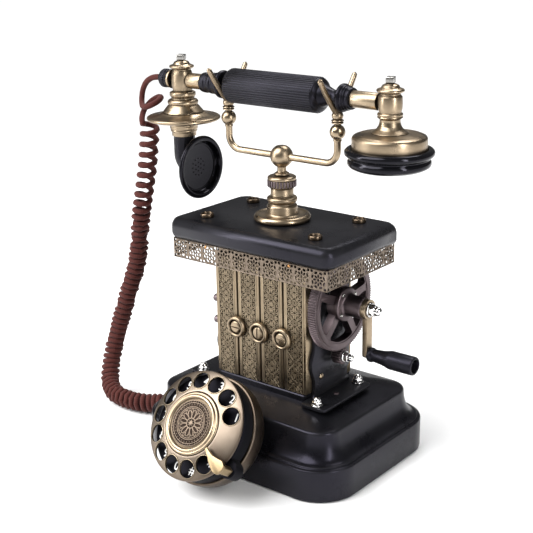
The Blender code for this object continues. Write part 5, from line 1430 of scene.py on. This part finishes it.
def make_gears():
    crank_z, pinion_z = CRANK_Z, PINION_Z
    low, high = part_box("drive_gear")
    thickness, middle = high.x - low.x, (low.x + high.x) / 2
    place = moved(middle, 0, crank_z) @ UPRIGHT
    windows = [spoke_window(math.radians(11) + TURN / 5 * (i + 0.5), 11.8 * MM, 28.1 * MM, 2.75 * MM) for i in range(5)]
    gear = flat("drive_wheel", [toothed(120, -QUARTER), loop(4.2 * MM, 32)] + windows, thickness, place, 0.16 * MM, 1)
    dress(gear, "crank", "iron", "drive_gear")
    rim = turned("gear_rim", pairs((29.2, 3.7), (32.3, 3.7), (32.3, 3.0), (29.2, 3.0)),
                 moved(middle, 0, crank_z) @ ALONG_X, 110, 0.2 * MM, hollow=True)
    dress(rim, "crank", "iron")

    low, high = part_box("crank_shaft")
    left, right = low.x, high.x
    hub = 55 * MM
    profile = [(r * MM, x) for r, x in (
        (0, right), (4, right), (4, 73), (7.4, 73), (7.8, 72.2), (7.8, 62), (7.9, 60.2), (8.6, 59.2), (10.4, 58.6),
        (11.9, 58.2), (12.5, 57.4), (12.5, 55), (4, 55), (4, left), (0, left))]
    profile = [(r, x * MM if abs(x) > 1 else x) for r, x in profile]
    place = moved(z=crank_z) @ ALONG_X
    dress(turned("crank_axle", profile, place, 72, 0.3 * MM), "crank", "iron", "crank_shaft")
    bolt = turned("bolt", pairs((0, 1.1), (1.2, 1.0), (1.5, 0.4), (1.5, 0), (0, 0)), None, 18, 0.2 * MM)
    dress(around("hub_bolts", bolt, place @ moved(z=58.2 * MM), 4, 10.2 * MM, 0.6), "crank",
          "steel")

    low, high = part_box("crank_arm")
    inner = low.x
    boss, half, length, thick = 7.2 * MM, 3.3 * MM, 33.4 * MM, 4 * MM
    shoulder = math.asin(half / boss)
    outline = arc((0, 0), boss, -QUARTER + shoulder, 1.5 * math.pi - shoulder, 40)
    outline += arc((0, -length), half, math.pi, TURN, 14)
    arm = flat("arm", [outline, loop(4.1 * MM, 28)], thick, moved(inner + thick / 2, 0, crank_z) @ UPRIGHT,
               0.45 * MM, 3)
    dress(arm, "crank", "brass", "crank_arm")
    pin = turned("grip_pin", pairs((0, 14), (1.9, 14), (1.9, 0), (0, 0)),
                 moved(inner + thick - 0.2 * MM, 0, crank_z - length) @ ALONG_X, 24, 0.2 * MM)
    dress(pin, "crank", "steel")

    low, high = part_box("crank_nut")
    acorn_nut("crank_cap_nut", moved(low.x, 0, crank_z) @ ALONG_X, (high.y - low.y) / 2, high.x - low.x,
              "crank", "crank_nut")

    low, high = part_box("crank_grip")
    start, end = low.x / MM, high.x / MM
    profile = pairs(
        (0, end - 4.5), (4.2, end - 4.5), (4.7, end - 1.2), (5.1, end), (6.0, end), (6.6, end - 0.7), (6.7, end - 2),
        (6.7, end - 19.6), (6.4, end - 21), (5.9, end - 22.6), (5.2, end - 26), (4.7, start + 6), (4.6, start + 3.6),
        (5.2, start + 3), (5.4, start + 2), (5.2, start + 0.4), (4.6, start), (2.3, start), (2.3, start + 15),
            (0, start + 15))
    handle = turned("crank_handle", profile, moved(z=crank_z - length) @ ALONG_X, 64, 0.4 * MM)
    dress(handle, "crank_grip_body", "plastic", "crank_grip")

    low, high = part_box("pinion")
    width = high.x - low.x
    pinion = flat("small_gear", [toothed(20, QUARTER + math.pi / 20), loop(2.4 * MM, 24)], width,
                  moved((low.x + high.x) / 2, 0, pinion_z) @ UPRIGHT, 0.2 * MM, 2)
    dress(pinion, "rotor", "iron", "pinion")
    core = pairs(
        (0, high.x / MM + 0.3), (2.2, high.x / MM + 0.3), (2.2, 37.6), (10.6, 36), (13.6, 33), (13.6, -33), (10.6, -36),
        (2.2, -37.6), (2.2, -46.9), (0, -46.9))
    place = moved(z=pinion_z) @ ALONG_X
    dress(turned("armature_core", core, place, 56, 0.3 * MM), "rotor", "steel", "armature")
    winding = turned("winding", pairs((13.7, 0.45), (14.2, 0), (13.7, -0.45), (13.2, 0)),
                     None, 40, 0.1 * MM, hollow=True)
    coils = gridded("windings", winding, moved(z=0), 1, 1, 1 * MM, 1 * MM)
    coils.data.transform(place)
    dress(coils, "rotor", "copper", slot="steel")
    acorn_nut("pinion_cap_nut", moved(high.x + 0.3 * MM, 0, pinion_z) @ ALONG_X, 4.2 * MM, 8.1 * MM, "rotor")


class PHONE_OT_crank(bpy.types.Operator):
    """Make the drive wheel, pinion, axles, crank arm and its handle"""
    bl_idname = "phone.crank"
    bl_label = "Gears and crank"

    def execute(self, context):
        make_gears()
        return {"FINISHED"}


# ---------------------------------------------------------------- dial

def dome_height(radius):
    return 6.2 * MM * (1 - (radius / (WHEEL_RIM)) ** 2.6)


def make_wheel():
    rim, recess, bore, thick = WHEEL_RIM, 22.9 * MM, 9 * MM, 1.6 * MM
    radii = [recess + (rim - 1.2 * MM - recess) * i / 12 for i in range(13)]
    top = [(r, dome_height(r)) for r in radii]
    edge = [(rim - 0.2 * MM, 0.1 * MM), (rim, -0.6 * MM), (rim - 0.2 * MM, -1.4 * MM), (rim - 1.0 * MM, -thick)]
    under = [(r - 0.8 * MM, dome_height(r) - thick) for r in reversed(radii)]
    floor = dome_height(recess) - thick
    inside = [(bore, floor - thick), (bore, floor - 0.3 * MM), (recess, floor - 0.3 * MM)]
    wheel = turned("wheel", top + edge + under + inside, None, 144, 0.12 * MM, hollow=True)
    cutters = around("cutters", drum("cutter", 6.45 * MM, 30 * MM, 44), Matrix.Identity(4), 12, FINGER_CIRCLE,
                     math.radians(25.4), math.radians(26))
    wheel = boolean(wheel, cutters)
    wheel.name = "finger_plate"
    wheel.data.transform(DIAL_PLACE)
    dress(wheel, "dial", "dial", "finger_wheel", angle=30)

    lean = math.atan2(dome_height(28 * MM) - dome_height(34 * MM), 6 * MM)
    lip = turned("lip", pairs((6.35, 0.3), (6.75, 0.2), (6.85, -0.3), (6.35, -0.8)),
                 Matrix.Rotation(lean, 4, "Y"), 44, 0.15 * MM, hollow=True)
    lips = around("finger_rims", lip, DIAL_PLACE @ moved(z=dome_height(FINGER_CIRCLE)), 12, FINGER_CIRCLE,
                  math.radians(25.4), math.radians(26))
    dress(lips, "dial", "relief", angle=50)

    cap = pairs(
        (0, 5.6), (16.4, 5.6), (17.0, 5.2), (17.4, 5.2), (17.9, 6.3), (18.6, 6.9), (19.6, 6.9), (20.2, 6.2),
            (20.5, 5.7),
        (21.2, 5.9), (22.0, 5.6), (22.4, 4.8), (22.5, 3.2), (0, 3.2))
    dress(turned("centre_ring", cap, DIAL_PLACE, 110, 0.25 * MM), "dial", "brass", "dial_cap")
    make_medallion()


def make_medallion():
    """A plain geometric rosette: rings, beads, petals and a star."""
    face = DIAL_PLACE @ moved(z=5.6 * MM)
    disc = turned("disc", pairs((0, 0.25), (16.2, 0.25), (16.4, 0), (0, 0)), face, 96, 0.1 * MM)
    petals = around("petals", wires("petal", [(loop(3.1 * MM, 20, (0, 0), 1.35 * MM), True)], 0.26 * MM),
                    face @ moved(z=0.3 * MM), 12, 6.3 * MM)
    leaves = around("leaves", wires("leaf", [(loop(1.5 * MM, 14, (0, 0), 0.75 * MM), True)], 0.22 * MM),
                    face @ moved(z=0.3 * MM), 12, 8.9 * MM, math.pi / 12)
    beads = around("beads", ball("bead", 0.55 * MM, 0.7, 10), face @ moved(z=0.3 * MM), 36, 13.2 * MM)
    ticks = around("ticks", block("tick", mm(1.3, 0.4, 0.4), None, 0.12 * MM, 1),
                   face @ moved(z=0.35 * MM), 48, 15.2 * MM)
    star = [(radius * math.cos(TURN * i / 16), radius * math.sin(TURN * i / 16))
            for i, radius in enumerate([2.9 * MM, 1.2 * MM] * 8)]
    middle = flat("star", [star], 0.6 * MM, face @ moved(z=0.4 * MM), 0.12 * MM, 1)
    lines = wires("rings", [(loop(radius * MM, 72), True) for radius in (3.6, 10.6, 11.6, 14.4, 16.0)], 0.24 * MM,
                  face @ moved(z=0.3 * MM))
    disc.name = "medallion_ground"
    dress(disc, "dial", "medallion_ground")
    dress(joined("medallion_relief", [petals, leaves, beads, ticks, middle, lines]), "dial", "medallion", angle=55)


def make_dial_case():
    front, back = -3.5 * MM, -14.9 * MM
    disc = turned("disc", [(0, front), (35.2 * MM, front), (36.2 * MM, front - 0.2 * MM), (37.2 * MM, front - 1.0 * MM),
                           (37.8 * MM, front - 2.4 * MM), (37.8 * MM, back), (0, back)], DIAL_PLACE, 128, 0.3 * MM)
    swing = Matrix.Rotation(math.radians(-30), 4, "Z")
    lobe = arc((41 * MM, 0), 6.5 * MM, -QUARTER, QUARTER, 18) + pairs((35, 6.5), (35, -6.5))
    lug = flat("lug", [lobe], 9.6 * MM, DIAL_PLACE @ swing @ moved(z=(front + back) / 2), 2.6 * MM, 5)
    dress(joined("number_disc", [disc, lug]), ROOT, "dark", "number_plate")

    marks = []
    for i, text in enumerate("1234567890#*"):
        angle = math.radians(25.4) + i * math.radians(26)
        curve = bpy.data.curves.new("mark", "FONT")
        curve.body = text
        curve.size = (12 if text == "*" else 8.4) * MM
        curve.extrude = 0.05 * MM
        curve.offset = 0.08 * MM
        curve.align_x = "CENTER"
        curve.align_y = "CENTER"
        mark = settle(add_mesh("mark", curve))
        mark.data.transform(DIAL_PLACE @ moved(31.4 * MM * math.cos(angle), 31.4 * MM * math.sin(angle),
                                                             front + 0.06 * MM))
        marks.append(weld(mark))
    dress(joined("dial_numbers", marks), ROOT, "digits")

    leaf = [(24.6, -1.1), (27, -1.5), (31, -2.6), (35, -4.2), (39, -5.2), (43, -5.2), (45.6, -4), (46.5, -1.6),
            (46.4, 1.6),
            (45.2, 3.8), (42.6, 4.6), (39.6, 4.2), (36.4, 2.6), (32.6, 1.1), (28.4, 1.0), (24.6, 1.1)]
    leaf = [(x * MM, y * MM) for x, y in leaf]
    stop = flat("leaf", [leaf], 2.6 * MM, DIAL_PLACE @ swing @ moved(z=7.6 * MM), 0.7 * MM, 4)
    post = block("post", mm(5, 6, 11), DIAL_PLACE @ swing @ Matrix.Translation(mm(43.6, 0, 1.7)), 1.2 * MM, 4)
    dress(joined("stop_leaf", [stop, post]), ROOT, "stop", "finger_stop")

    rim, depth, wall = 39.4 * MM, 32 * MM, 2.2 * MM
    start = back - 0.3 * MM
    rounds = [(rim * math.cos(a), start - 6 * MM - (depth - 6 * MM) * math.sin(a))
              for a in (math.radians(50) * i / 24 for i in range(25))]
    inner = [(radius - wall, z) for radius, z in reversed(rounds)]
    bowl = turned("bowl", [(rim - 1.2 * MM, start), (rim - 0.3 * MM, start - 0.3 * MM),
            (rim, start - 1.2 * MM)] + rounds
                  + inner + [(rim - wall, start)], DIAL_PLACE, 144, 0.2 * MM, hollow=True)
    space = bmesh.new()
    rings = [[space.verts.new((x, y, z)) for x, y in rounded_rectangle(hx + 0.2 * MM, hy + 0.2 * MM, corner, 14)]
             for hx, hy, corner, z in base_sections()]
    for low, high in zip(rings, rings[1:]):
        for i in range(len(low)):
            j = (i + 1) % len(low)
            space.faces.new((low[i], low[j], high[j], high[i]))
    space.faces.new(rings[-1])
    space.faces.new(list(reversed(rings[0])))
    bowl = boolean(bowl, from_shape("space", space))
    bowl.name = "dial_bowl"
    dress(bowl, ROOT, "dial", "dial_housing", angle=35)


class PHONE_OT_dial(bpy.types.Operator):
    """Make the rotary dial with its numbers, medallion, finger stop and brushed case"""
    bl_idname = "phone.dial"
    bl_label = "Dial"

    def execute(self, context):
        make_wheel()
        make_dial_case()
        return {"FINISHED"}


# ---------------------------------------------------------------- studio

class PHONE_OT_stage(bpy.types.Operator):
    """Make the pale floor, the soft studio lights and the camera"""
    bl_idname = "phone.stage"
    bl_label = "Studio"

    def execute(self, context):
        shape = bmesh.new()
        bmesh.ops.create_grid(shape, x_segments=1, y_segments=1, size=6)
        floor = from_shape("floor", shape)
        finish = bpy.data.materials.new("floor")
        finish.use_nodes = True
        shader = finish.node_tree.nodes["Principled BSDF"]
        shader.inputs["Base Color"].default_value = (0.9, 0.9, 0.9, 1)
        shader.inputs["Roughness"].default_value = 0.75
        floor.data.materials.append(finish)

        world = bpy.data.worlds.new("studio")
        world.use_nodes = True
        sky = world.node_tree.nodes["Background"]
        sky.inputs["Color"].default_value = (1, 1, 1, 1)
        sky.inputs["Strength"].default_value = 0.13
        context.scene.world = world
        sun = bpy.data.lights.new("window", "SUN")
        sun.energy = 4.3
        sun.angle = math.radians(50)
        item = bpy.data.objects.new("window", sun)
        context.scene.collection.objects.link(item)
        item.rotation_euler = Vector((0.45, 0.75, -1.1)).to_track_quat("-Z", "Y").to_euler()
        for name, place, aim, wide, tall, power in (
            ("left_strip", (-0.75, -0.75, 0.55), (0, 0, 0.14), 0.2, 0.9, 8),
            ("right_strip", (0.95, -0.25, 0.5), (0, 0, 0.14), 0.16, 0.9, 7),
            ("top_panel", (-0.1, 0.5, 1.1), (0, 0, 0.15), 0.7, 0.4, 8),
        ):
            light = bpy.data.lights.new(name, "AREA")
            light.shape = "RECTANGLE"
            light.size = wide
            light.size_y = tall
            light.energy = power
            item = bpy.data.objects.new(name, light)
            context.scene.collection.objects.link(item)
            item.location = place
            item.rotation_euler = (Vector(aim) - Vector(place)).to_track_quat("-Z", "Y").to_euler()
        context.scene.view_settings.view_transform = "Standard"

        azimuth, elevation, roll = math.radians(38.35), math.radians(18.1), math.radians(-0.73)
        ahead = Vector((-math.sin(azimuth) * math.cos(elevation), math.cos(azimuth) * math.cos(elevation),
                        -math.sin(elevation)))
        level = Vector((math.cos(azimuth), math.sin(azimuth), 0))
        upward = level.cross(ahead)
        right = math.cos(roll) * level + math.sin(roll) * upward
        top = -math.sin(roll) * level + math.cos(roll) * upward
        camera = bpy.data.objects.new("camera", bpy.data.cameras.new("camera"))
        context.scene.collection.objects.link(camera)
        turn = Matrix((right, top, -ahead)).transposed()
        camera.matrix_world = moved(0.4840, -0.6118, 0.3928) @ turn.to_4x4()
        camera.data.lens = 75.37
        camera.data.sensor_width = 36
        camera.data.shift_x = -0.031
        camera.data.shift_y = 0.0068
        context.scene.camera = camera
        return {"FINISHED"}


# ---------------------------------------------------------------- add-on

class PHONE_PT_panel(bpy.types.Panel):
    """Sizes, finishes and the steps of the telephone"""
    bl_label = "Desk Telephone"
    bl_idname = "PHONE_PT_panel"
    bl_space_type = "VIEW_3D"
    bl_region_type = "UI"
    bl_category = "Telephone"

    def draw(self, context):
        layout = self.layout
        for group in (context.scene.phone_finishes, context.scene.phone_sizes):
            column = layout.column(align=True)
            for name in group.__annotations__:
                column.prop(group, name)
        for step in STEPS:
            layout.operator(step.bl_idname)


STEPS = (
    PHONE_OT_stage, PHONE_OT_cord, PHONE_OT_base, PHONE_OT_magnets, PHONE_OT_side_plates, PHONE_OT_lid,
    PHONE_OT_cradle, PHONE_OT_handset, PHONE_OT_crank, PHONE_OT_dial,
)
CLASSES = (PhoneFinishes, PhoneSizes, *STEPS, PHONE_PT_panel)


def register():
    for item in CLASSES:
        bpy.utils.register_class(item)
    bpy.types.Scene.phone_finishes = PointerProperty(type=PhoneFinishes)
    bpy.types.Scene.phone_sizes = PointerProperty(type=PhoneSizes)


def unregister():
    del bpy.types.Scene.phone_sizes
    del bpy.types.Scene.phone_finishes
    for item in reversed(CLASSES):
        bpy.utils.unregister_class(item)


def main():
    register()
    TREES.update(ring=ring_tree(), grid=grid_tree())
    make_finishes(bpy.context.scene.phone_finishes)
    for step in STEPS:
        group, name = step.bl_idname.split(".")
        getattr(getattr(bpy.ops, group), name)()


if __name__ == "__main__":
    main()
